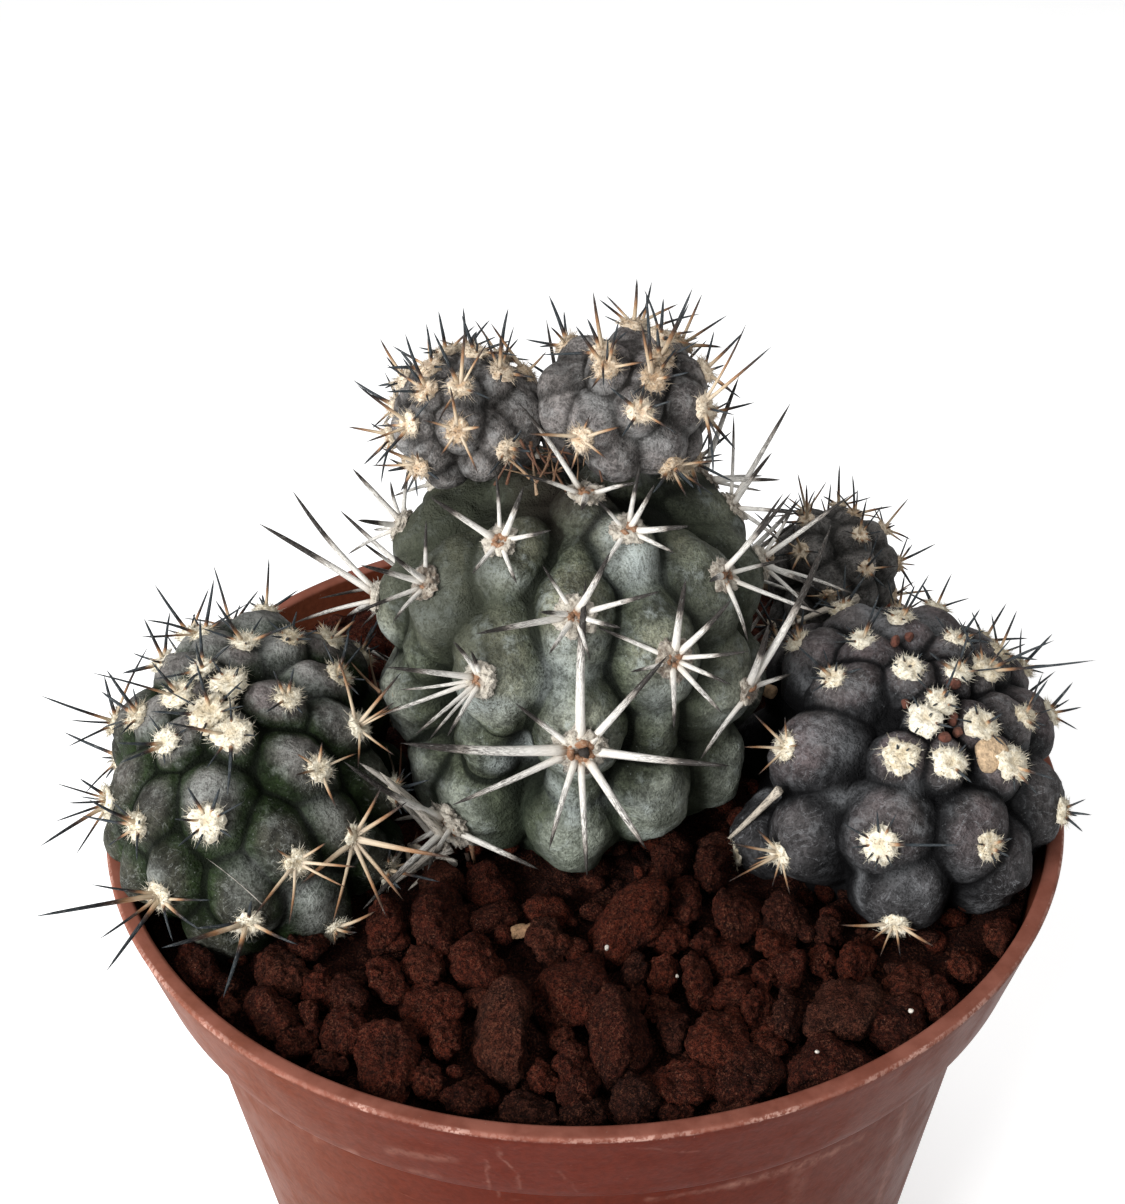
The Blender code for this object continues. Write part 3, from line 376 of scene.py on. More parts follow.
# How each head's tubercles swell: how many neighbours their spacing is taken from, width as a
# share of it, how much longer down the stem and how much deeper than wide they are, and how far
# a dome stands above its areole, in widths
BEADS = {
    "main_stem": (5, 0.405, 1.30, 1.35, 0.0),
    "head_left": (3, 0.56, 1.30, 1.45, 0.32),
    "head_right": (3, 0.60, 1.15, 1.25, 0.22),
    **{name: (3, 0.58, 1.05, 1.25, 0.10) for name in SMALL_HEADS},
}
WIDEST_BEAD = 5.2
# Tubercles of the main stem that are wider than the rest, by rib and row
WIDER_TUBERCLES = {
    (1, 1): 1.15, (11, 1): 1.15, (11, 2): 1.1, (2, 1): 1.15, (2, 2): 1.15, (3, 0): 1.15,
    (3, 1): 1.2, (3, 2): 1.15, (4, 1): 1.15, (8, 1): 1.15, (9, 1): 1.2, (9, 0): 1.15,
    (9, 2): 1.15, (10, 1): 1.15, (10, 2): 1.15,
}

# Spines that the photo shows clearly: areole, pixel of the tip, length in millimetres.
# The strongest of an areole come first.
SEEN_SPINES = {
    ("main_stem", (0, 2)): (
        ((586, 578), 17.0), ((400, 743), 17.5), ((668, 655), 12.5), ((732, 766), 14.5),
        ((450, 806), 13.5), ((647, 850), 11.0), ((587, 878), 11.5), ((549, 850), 10.0),
        ((515, 703), 8.0)),
    ("main_stem", (0, 1)): (
        ((610, 552), 11.0), ((475, 634), 11.0), ((662, 591), 9.0), ((549, 654), 6.0),
        ((622, 628), 6.0)),
    ("main_stem", (1, 1)): (
        ((686, 578), 10.0), ((732, 599), 9.5), ((732, 685), 7.0), ((674, 729), 8.0),
        ((750, 651), 8.0), ((722, 713), 8.0), ((593, 625), 8.5), ((630, 672), 5.0)),
    ("main_stem", (11, 1)): (
        ((385, 667), 10.0), ((453, 641), 6.0), ((415, 735), 8.5), ((447, 737), 7.0)),
    ("main_stem", (11, 0)): (
        ((430, 497), 8.0), ((524, 486), 6.5), ((472, 574), 5.0), ((552, 530), 6.0),
        ((517, 584), 5.5)),
    ("main_stem", (1, 0)): (
        ((655, 484), 6.0), ((690, 526), 6.5), ((600, 571), 5.5), ((675, 553), 5.5),
        ((597, 500), 5.0)),
    ("main_stem", (11, 2)): (
        ((330, 745), 17.0), ((362, 910), 15.0), ((540, 870), 12.0), ((447, 900), 9.0)),
    ("main_stem", (10, 1)): (
        ((360, 565), 8.0), ((393, 555), 6.0), ((355, 613), 8.0), ((393, 622), 6.0)),
    ("main_stem", (9, 1)): (
        ((258, 523), 12.0), ((292, 490), 13.0), ((300, 640), 8.0)),
    ("main_stem", (9, 0)): (
        ((352, 468), 8.0), ((357, 520), 6.0)),
    ("main_stem", (2, 2)): (
        ((832, 523), 24.0), ((769, 623), 11.0), ((700, 760), 9.0)),
}

# Spines of the other heads that the photo shows, by the pixel of each tip, strongest first
SEEN_TIPS = {
    ("head_left", 0): ((214, 578), (145, 620), (138, 637), (248, 603), (226, 617)),
    ("head_left", 1): ((39, 695), (104, 675), (149, 645), (67, 747), (69, 720), (147, 734)),
    ("head_left", 2): ((151, 661), (160, 682), (89, 672)),
    ("head_left", 3): ((239, 667), (212, 700)),
    ("head_left", 4): ((273, 670), (294, 667), (303, 714)),
    ("head_left", 5): ((116, 743), (120, 763), (188, 728), (165, 765)),
    ("head_left", 7): ((164, 722), (227, 797), (206, 769), (257, 736)),
    ("head_left", 8): ((379, 785), (322, 742)),
    ("head_left", 9): ((336, 651), (427, 676), (382, 775), (358, 770), (411, 716), (405, 705)),
    ("head_left", 10): ((39, 847), (79, 778), (54, 822), (75, 856), (67, 803), (55, 783)),
    ("head_left", 11): ((187, 786), (220, 787), (177, 847), (174, 819), (195, 850), (233, 838)),
    ("head_left", 12): ((32, 917), (105, 973), (89, 884), (214, 900), (98, 940), (202, 931),
                        (173, 942), (168, 877)),
    ("head_left", 13): ((252, 919), (358, 867), (289, 925), (347, 888), (327, 842)),
    ("head_left", 14): ((455, 858), (301, 884), (383, 784), (357, 936), (408, 801), (404, 901),
                        (332, 926)),
    ("head_left", 15): ((223, 998), (161, 948), (299, 945), (196, 928)),
    ("head_left", 16): ((371, 984), (388, 907)),
    ("head_left", 17): ((269, 556), (262, 594)),
    ("head_left", 18): ((385, 636), (300, 630)),
    ("head_right", 0): ((797, 645), (863, 668), (807, 677), (812, 692), (837, 661)),
    ("head_right", 1): ((893, 664), (921, 678), (903, 655)),
    ("head_right", 2): ((1055, 640), (1097, 660), (957, 616), (1012, 638), (979, 622)),
    ("head_right", 3): ((743, 747), (753, 713), (758, 775), (785, 716)),
    ("head_right", 4): ((897, 744), (890, 762), (909, 748)),
    ("head_right", 5): ((972, 783), (944, 757), (957, 775)),
    ("head_right", 6): ((954, 728), (932, 713), (914, 734)),
    ("head_right", 7): ((1003, 713), (975, 740)),
    ("head_right", 8): ((959, 658), (950, 690)),
    ("head_right", 9): ((1057, 780), (1038, 795), (973, 758), (1015, 792)),
    ("head_right", 10): ((728, 842), (753, 825), (790, 895), (728, 882), (748, 868), (772, 887)),
    ("head_right", 11): ((963, 845), (877, 810), (842, 823), (897, 813), (850, 848), (875, 872),
                         (893, 868), (866, 861)),
    ("head_right", 12): ((1013, 838), (1010, 857), (996, 862)),
    ("head_right", 13): ((1082, 707), (1073, 682), (1078, 730), (1070, 699)),
    ("head_right", 14): ((1092, 815), (1083, 832), (1086, 799)),
    ("head_right", 15): ((840, 925), (935, 947), (880, 957), (872, 940), (918, 931)),
    ("head_right", 17): ((952, 573), (922, 584), (970, 598), (903, 590)),
    ("head_top_left", 0): ((433, 331), (465, 327), (488, 342)),
    ("head_top_left", 1): ((405, 333), (402, 357), (385, 392)),
    ("head_top_left", 2): ((356, 384), (374, 467), (366, 442)),
    ("head_top_left", 3): ((450, 386), (481, 427)),
    ("head_top_left", 4): ((381, 448), (440, 480)),
    ("head_top_left", 7): ((490, 322), (513, 418), (510, 356)),
    ("head_top_right", 1): ((528, 434), (621, 427), (590, 415)),
    ("head_top_right", 2): ((556, 319), (540, 336)),
    ("head_top_right", 3): ((619, 320), (575, 325), (608, 338)),
    ("head_top_right", 4): ((646, 290), (641, 322), (690, 372)),
    ("head_top_right", 5): ((693, 287), (657, 328), (700, 340)),
    ("head_top_right", 6): ((772, 346), (713, 477), (747, 322), (735, 415), (722, 445)),
    ("head_top_right", 8): ((593, 291), (587, 318), (628, 331)),
}

# More of an areole's spines than its solids show, all in the fine pieces
MORE_SPINES = {
    ("main_stem", (11, 1)): (((471, 651), 4.5), ((379, 716), 9.5), ((428, 741), 8.0), ((398, 690), 7.0)),
    ("main_stem", (0, 1)): (((540, 612), 5.0), ((590, 660), 5.0)),
}

# How many spines of an areole the solids carry, or one more where the photo shows that many
SPINES_PER_AREOLE = {
    "main_stem": 4, "head_left": 3, "head_right": 3,
    "head_top_left": 2, "head_top_right": 3, "head_back_right": 2,
}
# A seen tip's distance from its areole is this much longer than it looks, leaning to the eye
SEEN_TIP_SLANT = 1.12
# An areole under this height carries no wool and no spines
LEAST_AREOLE_Z = SOIL_Z + 1.3
# Where the photo shows no spines: their lengths beside the head's own, how far the first of an
# areole and the others lean from straight out in degrees, how far they stray round it in
# radians, and how long the others are beside the first
PLANNED_LENGTHS = (0.8, 1.1)
CENTRAL_TILT = 25.0
CENTRAL_STRAY = 0.4
RADIAL_TILTS = (55.0, 68.0)
RADIAL_STRAY = 0.6
RADIAL_SHARE = 0.85
# How a spine that is in the way is bent: outward and upward share and what is left of its length
BENDS = ((0.0, 0.0, 1.0), (0.5, 0.0, 1.0), (0.4, 0.5, 0.95), (0.8, 0.8, 0.9), (0.6, 1.4, 0.8),
         (1.0, 0.2, 0.6))

# Grit stones seen in the photo: middle pixel, width and height in pixels, turn in degrees
SEEN_STONES = (
    (194, 970, 48, 48, 0), (279, 975, 52, 50, 0), (319, 987, 34, 36, 0), (268, 1015, 60, 38, -15),
    (228, 1008, 22, 32, 10), (386, 930, 38, 56, 0), (437, 925, 68, 58, 0), (386, 978, 48, 38, -35),
    (347, 999, 46, 34, 0), (345, 1030, 48, 44, 0), (310, 1020, 20, 36, 0), (295, 1043, 46, 26, -15),
    (328, 1062, 38, 24, -15), (385, 1063, 66, 62, 0), (430, 1010, 62, 40, 15), (425, 970, 46, 36, 0),
    (479, 965, 54, 50, 20), (444, 1042, 34, 38, 0), (430, 1083, 36, 30, -20), (466, 1099, 46, 28, -8),
    (501, 1040, 98, 62, 80), (550, 945, 44, 44, 0), (573, 995, 84, 56, 22), (622, 925, 104, 46, 42),
    (562, 1040, 26, 22, 0), (574, 1064, 44, 32, -30), (541, 1077, 32, 30, 20), (577, 1090, 48, 28, 0),
    (528, 1110, 58, 26, -6), (586, 1112, 46, 26, 0), (619, 1045, 96, 58, 98), (637, 1103, 52, 42, 0),
    (690, 1083, 66, 32, -5), (680, 1112, 36, 22, 0), (720, 1038, 66, 46, 15), (675, 1030, 38, 34, 0),
    (660, 1010, 36, 20, 0), (661, 975, 32, 42, 0), (697, 985, 52, 34, 110), (634, 970, 28, 36, 0),
    (728, 960, 48, 30, 38), (735, 992, 44, 30, 32), (672, 938, 38, 30, 0), (685, 905, 52, 34, 70),
    (670, 858, 36, 42, 0), (712, 873, 36, 46, 0), (737, 918, 52, 52, 0), (785, 920, 40, 54, 10),
    (772, 943, 40, 26, -20), (704, 943, 28, 24, 0), (790, 967, 36, 38, 0), (763, 975, 26, 26, 0),
    (758, 1008, 32, 36, 0), (788, 1020, 54, 30, 112), (767, 1043, 38, 24, -10), (845, 1010, 86, 52, -5),
    (827, 935, 32, 30, 0), (856, 965, 52, 34, 112), (820, 961, 28, 26, 0), (826, 1065, 86, 52, 6),
    (748, 1078, 68, 50, -10), (898, 1022, 58, 46, 0), (942, 1000, 36, 40, 0), (903, 985, 50, 34, 0),
    (1002, 935, 36, 32, 0), (965, 968, 32, 28, 0), (405, 1036, 32, 24, 0), (224, 988, 28, 22, 0),
    (305, 945, 42, 26, 0), (640, 1000, 20, 20, 0), (505, 990, 30, 24, 0), (740, 1108, 50, 24, 8),
)


def place_rib_areoles(head):
    """The main stem: areoles on twelve ribs, odd and even ribs half a step apart."""
    for rib in range(RIB_COUNT):
        azimuth = math.radians(-90.0 + 360.0 / RIB_COUNT * rib)
        rows = ODD_ROWS if rib % 2 else EVEN_ROWS
        previous = None
        for row, elevation in enumerate(rows):
            lift = math.radians(elevation + head.draw.uniform(-RIB_STRAY, RIB_STRAY))
            turn = azimuth + math.radians(head.draw.uniform(-RIB_STRAY, RIB_STRAY))
            direction = np.array((math.cos(lift) * math.cos(turn), math.cos(lift) * math.sin(turn),
                                  math.sin(lift)))
            spot = head.egg_point(direction)
            if (rib, row) in SEEN_ON_RIBS:
                spot = head.seen_on_egg(SEEN_ON_RIBS[(rib, row)])
            if elevation > CROWN_HEIGHT and rib not in CROWN_RIBS:
                continue
            head.areoles.append(Areole(spot, head.egg_normal(spot), (rib, row)))
            if previous is not None:
                neck = head.egg_point((previous + spot) / 2.0 - head.centre)
                normal = head.egg_normal(neck)
                head.add_bead(neck - normal * NECK_DEPTH, normal, *NECK_SIZES, rib)
            previous = spot


# Spots tried for an offset's areoles, how far down its side they go as a share of its height, how
# far under the grit they may lie, where the full spacing begins in degrees from the growing
# point, and the least share of the spacing that two areoles keep
TRIAL_SPOTS = 700
TRIAL_DROP = 1.75
TRIAL_SUNK = 3.0
FULL_SPACING_TURN = 75.0
LEAST_SPACING = 0.92


def spacing_at(head, spot):
    """Wanted distance between areoles, small at the growing point and full at the side."""
    along = np.clip(unit(spot - head.centre) @ head.axis, -1.0, 1.0)
    share = min(1.0, math.acos(along) / math.radians(FULL_SPACING_TURN))
    return head.apex_spacing + (head.side_spacing - head.apex_spacing) * share


def place_spiral_areoles(head):
    """The other heads: the seen areoles first, then the rest packed the same way all round."""
    spots = [head.seen_on_egg(pixel) for pixel in SEEN_AREOLES[head.name]]
    candidates = []
    for step in range(TRIAL_SPOTS):
        height = 1.0 - TRIAL_DROP * (step + 0.5) / TRIAL_SPOTS
        reach = math.sqrt(1.0 - height * height)
        turn = GOLDEN_TURN * step
        direction = (head.axis * height + head.side * reach * math.cos(turn)
                     + head.front * reach * math.sin(turn))
        spot = head.egg_point(direction)
        if spot[2] > SOIL_Z - TRIAL_SUNK and not in_another_head(head, spot, HEAD_MARGIN):
            candidates.append(spot)
    while candidates:
        best = None
        kept = []
        for spot in candidates:
            nearest = min(np.linalg.norm(spot - other) for other in spots)
            ratio = nearest / spacing_at(head, spot)
            if ratio < LEAST_SPACING:
                continue
            kept.append(spot)
            if best is None or ratio < best[0]:
                best = (ratio, spot)
        if best is None:
            break
        spots.append(best[1])
        candidates = kept
    for number, spot in enumerate(spots):
        head.areoles.append(Areole(spot, head.egg_normal(spot), number))


def in_another_head(head, spot, margin):
    """True where a spot on one head lies in another head or nearer to it than the margin."""
    for other in HEADS.values():
        if other is head:
            continue
        if other.depth_outside(spot[None, :])[0] < margin:
            return True
    return False


# Swellings with no areole, where the two small top heads meet: pixel and width in millimetres
JOINT_BEADS = {
    "head_top_left": (((536, 386), 3.0), ((535, 415), 3.0), ((534, 440), 3.2), ((536, 454), 2.6)),
    "head_top_right": (((545, 384), 3.0), ((545, 412), 3.2), ((544, 440), 3.3), ((543, 454), 2.6)),
}
JOINT_RISE = 0.6


def shape_beads(head):
    """One bead a tubercle, as wide as its neighbours let it be, with its areole on the flesh."""
    spots = np.array([areole.spot for areole in head.areoles])
    neighbours, share, longer, deeper, rise = BEADS[head.name]
    for areole in head.areoles:
        distances = np.sort(np.linalg.norm(spots - areole.spot, axis=1))[1:neighbours + 1]
        width = min(WIDEST_BEAD, share * float(np.mean(distances)))
        width *= WIDER_TUBERCLES.get(areole.key, 1.0)
        tip = head.egg_point(areole.spot - head.down(areole.normal) * rise * width - head.centre)
        group = areole.key[0] if head.name == "main_stem" else areole.key
        head.add_bead(tip, head.egg_normal(tip), width, width * longer, width * deeper, group)
    for number, (pixel, width) in enumerate(JOINT_BEADS.get(head.name, ())):
        tip = head.seen_on_egg(pixel)
        normal = head.egg_normal(tip)
        head.add_bead(tip + normal * JOINT_RISE, normal, width, width, width * 1.2, -1 - number)
    for areole in head.areoles:
        out = unit(areole.spot - head.centre)
        areole.spot = head.centre + out * head.body(out[None, :])[0]


def wall_inner_radius(z):
    """Inside radius of the pot's wall at a height."""
    if z >= STEP_Z:
        share = (z - STEP_Z) / COLLAR_HEIGHT
        inner_foot = COLLAR_FOOT_RADIUS - WALL
        return inner_foot + (RIM_RADIUS - RIM_WIDTH - inner_foot) * share
    share = z / STEP_Z
    return BODY_FOOT_RADIUS + (BODY_TOP_RADIUS - BODY_FOOT_RADIUS) * share - WALL


NARROWEST_INSIDE = wall_inner_radius(STEP_Z)


def wall_clearance(points, gap):
    """How far points are clear of the pot's wall and a gap round it, below zero if they aren't."""
    return np.maximum(points[:, 2] - RIM_Z - gap, NARROWEST_INSIDE - gap - off_axis(points))


def seen_tip(areole, pixel, length=0.0):
    """The point of a spine that a pixel shows, at a length from its areole, leaning out."""
    ray = sight_line(pixel)
    nearest = EYE + ray * ((areole.spot - EYE) @ ray)
    miss = np.linalg.norm(nearest - areole.spot)
    reach = length if length else miss * SEEN_TIP_SLANT
    slack = math.sqrt(max(0.0, reach * reach - miss * miss))
    return nearest - ray * slack


def planned_tips(head, areole, count):
    """Tips of the strongest spines of an areole: one outward, the others spread round it."""
    seen = SEEN_SPINES.get((head.name, areole.key))
    if seen:
        return [seen_tip(areole, pixel, length) for pixel, length in seen[:count + 1]]
    seen = SEEN_TIPS.get((head.name, areole.key))
    if seen:
        return [seen_tip(areole, pixel) for pixel in seen[:count + 1]]
    up = unit(head.axis - areole.normal * (areole.normal @ head.axis) + np.array((0, NUDGE, 0)))
    aside = np.cross(areole.normal, up)
    tips = []
    for number in range(count):
        length = head.spine_length * head.draw.uniform(*PLANNED_LENGTHS)
        if number == 0:
            tilt = math.radians(CENTRAL_TILT)
            turn = head.draw.uniform(-CENTRAL_STRAY, CENTRAL_STRAY)
        else:
            tilt = math.radians(head.draw.uniform(*RADIAL_TILTS))
            turn = 2.0 * math.pi * (number - 0.5) / (count - 1)
            turn += head.draw.uniform(-RADIAL_STRAY, RADIAL_STRAY)
            length *= RADIAL_SHARE
        flat = up * math.cos(turn) + aside * math.sin(turn)
        tips.append(areole.spot + (areole.normal * math.cos(tilt) + flat * math.sin(tilt)) * length)
    return tips


def segment_gap(first, second):
    """Least distance between two spines, sampled along both."""
    shares = np.linspace(0.0, 1.0, 14)
    a = first[0] + (first[1] - first[0]) * shares[:, None]
    b = second[0] + (second[1] - second[0]) * shares[:, None]
    return np.min(np.linalg.norm(a[:, None, :] - b[None, :, :], axis=2))


def spine_is_clear(head, spot, tip, placed):
    """True if a spine keeps off the other heads, their spines, the grit and the pot."""
    points = spot + (tip - spot) * np.linspace(0.0, 1.0, 25)[:, None]
    for other in HEADS.values():
        if other is not head and np.min(other.depth_outside(points)) < SPINE_HEAD_GAP:
            return False
    # The grit's hole for the stem leaves a spine's root free
    points = points[np.linalg.norm(points - spot, axis=1) > POCKET_GAP]
    radial = off_axis(points)
    over_grit = radial < wall_inner_radius(RIM_Z) - SPINE_GAP
    if np.any(over_grit & (points[:, 2] < grit_height(points) + SPINE_GAP)):
        return False
    if np.any(~over_grit & (radial < RIM_RADIUS + RIM_NEAR) & (points[:, 2] < RIM_Z + SPINE_GAP)
              & (points[:, 2] > RIM_Z - RIM_DROP)):
        return False
    for name, root, end in placed:
        if name != head.name and segment_gap((spot, tip), (root, end)) < CROSSING_GAP:
            return False
    return True


def bent_clear(head, areole, tip, placed):
    """The tip as planned, or turned outward and upward until the spine is clear."""
    planned = tip - areole.spot
    length = np.linalg.norm(planned)
    for outward, upward, share in BENDS:
        turned = unit(planned / length + areole.normal * outward + np.array((0, 0, upward)))
        trial = areole.spot + turned * length * share
        if spine_is_clear(head, areole.spot, trial, placed):
            return trial
    return None


def open_areoles(head):
    """The areoles that stand clear of the grit, the pot and the other heads."""
    return [areole for areole in head.areoles
            if areole.key not in BARE_TUBERCLES
            and areole.spot[2] > LEAST_AREOLE_Z
            and not in_another_head(head, areole.spot, AREOLE_MARGIN)
            and wall_clearance(areole.spot[None, :], AREOLE_MARGIN)[0] >= 0.0]


def stone_list():
    """Grit: the stones that the photo shows, then smaller ones in every gap round them."""
    stones = []
    for across, down, width, height, turn in SEEN_STONES:
        ray = sight_line((across, down))
        middle = seen_at_height((across, down), SOIL_Z + SEEN_STONE_RISE)
        scale = STONE_FULLNESS * (middle - EYE) @ EYE_FORWARD / LENS_PIXELS
        half_width = width * scale / 2.0
        half_height = height * scale / 2.0
        first, second = turned_in_view(turn)
        level = unit(np.array((ray[0], ray[1], SEEN_STONE_DIP)))
        depth = SEEN_STONE_DEPTH * (half_width + half_height)
        stones.append((middle, np.array((first * half_width, second * half_height, -level * depth))))
    draw = np.random.default_rng(STONE_SEED)
    for step in range(FILL_STONES):
        reach = FILL_REACH * math.sqrt((step + 0.5) / FILL_STONES)
        turn = GOLDEN_TURN * step
        size = draw.uniform(*FILL_SIZES)
        middle = np.array((reach * math.cos(turn), reach * math.sin(turn), SOIL_Z + FILL_RISE))
        clear = all(np.linalg.norm((middle - other)[:2])
                    > FILL_ROOM[0] * size + FILL_ROOM[1] * np.max(np.linalg.norm(axes, axis=1))
                    for other, axes in stones)
        covered = any(head.depth_outside(middle[None, :])[0] < 0.0 for head in HEADS.values())
        if clear and not covered:
            spin = draw.uniform(0.0, math.pi)
            first = np.array((math.cos(spin), math.sin(spin), 0.0))
            second = np.array((-math.sin(spin), math.cos(spin), 0.0))
            third = np.array((0.0, 0.0, 1.0))
            stones.append((middle, np.array((first * size * FILL_LENGTH, second * size, third * size))))
    return stones


STONES = stone_list()


def stone_tops(points):
    """Height of the highest stone over each point, or a low value where there is none."""
    top = np.full(len(points), -1000.0)
    for middle, axes in STONES:
        turned = np.linalg.inv(axes)
        start = (points[:, :2] - middle[:2]) @ turned[:2]
        rise = turned[2]
        a = rise @ rise
        b = start @ rise
        root = b * b - a * (np.sum(start ** 2, axis=1) - 1.0)
        height = middle[2] + (-b + np.sqrt(np.maximum(root, 0.0))) / a
        top = np.where(root > 0.0, np.maximum(top, height), top)
    return top


def grit_height(points):
    """Height of the top of the grit under each point."""
    return np.maximum(stone_tops(points), SOIL_Z + GRIT_HOLLOW_RISE)


# Flesh

# How far an offset's flesh sinks into the head that it grows from
SEAM_OVERLAP = 1.2
# Rounds that space the points of the flesh evenly, and rounds of smoothing that bring out its
# fine and its broad creases
RELAX_ROUNDS = 7
CREASE_ROUNDS = (6, 24)
# How far apart the lumps and the wrinkles of the skin are, how far up from its cut the flesh is
# smooth, and how softly the tones of two tubercles run into each other, millimetres
LUMP_LENGTH = 4.2
WRINKLE_LENGTH = 1.1
QUIET_FOOT = 3.0
TONE_BLEND = 1.2

# The skin of each head: how finely the sphere is split, how softly the beads run together in
# millimetres, and the height of its broad lumps and its fine wrinkles
SKINS = {
    "main_stem": (7, 0.20, 0.30, 0.060),
    "head_left": (7, 0.12, 0.24, 0.055),
    "head_right": (7, 0.12, 0.32, 0.060),
    **{name: (6, 0.08, 0.18, 0.050) for name in SMALL_HEADS},
}


def ripples(points, wavelength, seed, count=36):
    """Smooth irregular waves over points in millimetres, mostly between -1 and 1."""
    draw = np.random.default_rng(seed)
    total = np.zeros(len(points))
    for _ in range(count):
        direction = unit(draw.normal(size=3))
        turns = 2.0 * math.pi / (wavelength * draw.uniform(0.7, 1.5))
        total += np.sin(points @ direction * turns + draw.uniform(0.0, 2.0 * math.pi))
    return total / math.sqrt(2.0 * count)


def bead_reaches(head, directions):
    """Distance to the far side of each bead, falling off smoothly where a ray misses it."""
    reaches = [head.core(directions)]
    for a, b, root in head.bead_terms(directions):
        reaches.append((-b + np.sign(root) * np.sqrt(np.abs(root))) / a)
    return np.array(reaches)


def cleared(head, directions, reach, earlier):
    """Shorten the rays that would run deep into an earlier head or into the pot."""
    shares = np.linspace(0.3, 1.0, 30)
    step = shares[1] - shares[0]
    limit = np.ones(len(directions))
    open_ray = np.ones(len(directions), dtype=bool)
    before = None
    for share in shares:
        points = head.centre + directions * (reach * share)[:, None]
        clear = wall_clearance(points, HEAD_GAP)
        for other in earlier:
            clear = np.minimum(clear, other.depth_outside(points) + SEAM_OVERLAP)
        if before is None:
            before = np.maximum(clear, 1e-6)
        crossing = open_ray & (clear < 0.0) & (before >= 0.0)
        back = step * clear / (clear - before - 1e-9)
        limit = np.where(crossing, share - back, limit)
        open_ray &= ~crossing
        before = clear
    return reach * limit


def flesh_reach(head, directions, softness, earlier):
    """Distance from the centre to the fine flesh."""
    reaches = bead_reaches(head, directions)
    highest = reaches.max(axis=0)
    reach = highest + softness * np.log(np.sum(np.exp((reaches - highest) / softness), axis=0))
    return cleared(head, directions, head.cut_at_foot(directions, reach), earlier)


def evened(directions, reach_of, edges, rounds):
    """Slide the rays sideways until the points on the flesh are evenly spaced."""
    links = np.zeros(len(directions))
    np.add.at(links, edges[:, 0], 1.0)
    np.add.at(links, edges[:, 1], 1.0)
    for _ in range(rounds):
        points = directions * reach_of(directions)[:, None]
        total = np.zeros_like(points)
        np.add.at(total, edges[:, 0], points[edges[:, 1]])
        np.add.at(total, edges[:, 1], points[edges[:, 0]])
        points = 0.35 * points + 0.65 * total / links[:, None]
        directions = units(points)
    return directions


def point_normals(points, faces):
    """Outward direction at each point of a triangle mesh."""
    corners = points[faces]
    facing = np.cross(corners[:, 1] - corners[:, 0], corners[:, 2] - corners[:, 0])
    normals = np.zeros_like(points)
    for corner in range(3):
        np.add.at(normals, faces[:, corner], facing)
    return normals / np.maximum(np.linalg.norm(normals, axis=1), 1e-12)[:, None]


def linked(name, data):
    """A new object that stands in the scene."""
    made = bpy.data.objects.new(name, data)
    bpy.context.scene.collection.objects.link(made)
    return made


def two_triangles(a, b, c, d):
    """A four-sided face, its corners given in turn, as two triangles."""
    return [(a, b, c), (a, c, d)]


class Heap:
    """Points, triangles and values for each point, gathered for one piece."""

    def __init__(self):
        self.points = []
        self.faces = []
        self.values = {}
        self.count = 0

    def add(self, points, faces, **values):
        self.points.append(np.asarray(points))
        self.faces.append(np.asarray(faces) + self.count)
        for name, value in values.items():
            value = np.asarray(value, dtype=float)
            if value.ndim == 0:
                value = np.full(len(points), float(value))
            self.values.setdefault(name, []).append(value)
        self.count += len(points)

    def build(self, name, look, nodes=()):
        """Make the piece from millimetres, and tie it to the frame."""
        points = np.concatenate(self.points)
        faces = np.concatenate(self.faces)
        mesh = bpy.data.meshes.new(name)
        mesh.vertices.add(len(points))
        mesh.vertices.foreach_set("co", (points * MM).astype(np.float32).ravel())
        mesh.loops.add(3 * len(faces))
        mesh.loops.foreach_set("vertex_index", faces.astype(np.int32).ravel())
        mesh.polygons.add(len(faces))
        mesh.polygons.foreach_set("loop_start", np.arange(0, 3 * len(faces), 3, dtype=np.int32))
        mesh.update(calc_edges=True)
        mesh.validate()
        for title, parts in self.values.items():
            value = np.concatenate(parts).astype(np.float32)
            kind = "FLOAT" if value.ndim == 1 else "FLOAT_VECTOR"
            field = "value" if value.ndim == 1 else "vector"
            attribute = mesh.attributes.new(title, kind, "POINT")
            attribute.data.foreach_set(field, value.ravel())
        mesh.shade_smooth()
        mesh.materials.append(look.material)
        piece = linked(name, mesh)
        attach(piece, "root")
        if nodes:
            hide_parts(*nodes)
        return piece


def sphere_mesh(subdivisions):
    """Unit directions, triangles and edges of a split icosahedron."""
    bm = bmesh.new()
    bmesh.ops.create_icosphere(bm, subdivisions=subdivisions, radius=1.0)
    directions = units(np.array([vertex.co[:] for vertex in bm.verts]))
    faces = np.array([[vertex.index for vertex in face.verts] for face in bm.faces])
    bm.free()
    pairs = np.concatenate((faces[:, (0, 1)], faces[:, (1, 2)], faces[:, (2, 0)]))
    edges = np.unique(np.sort(pairs, axis=1), axis=0)
    return directions, faces, edges


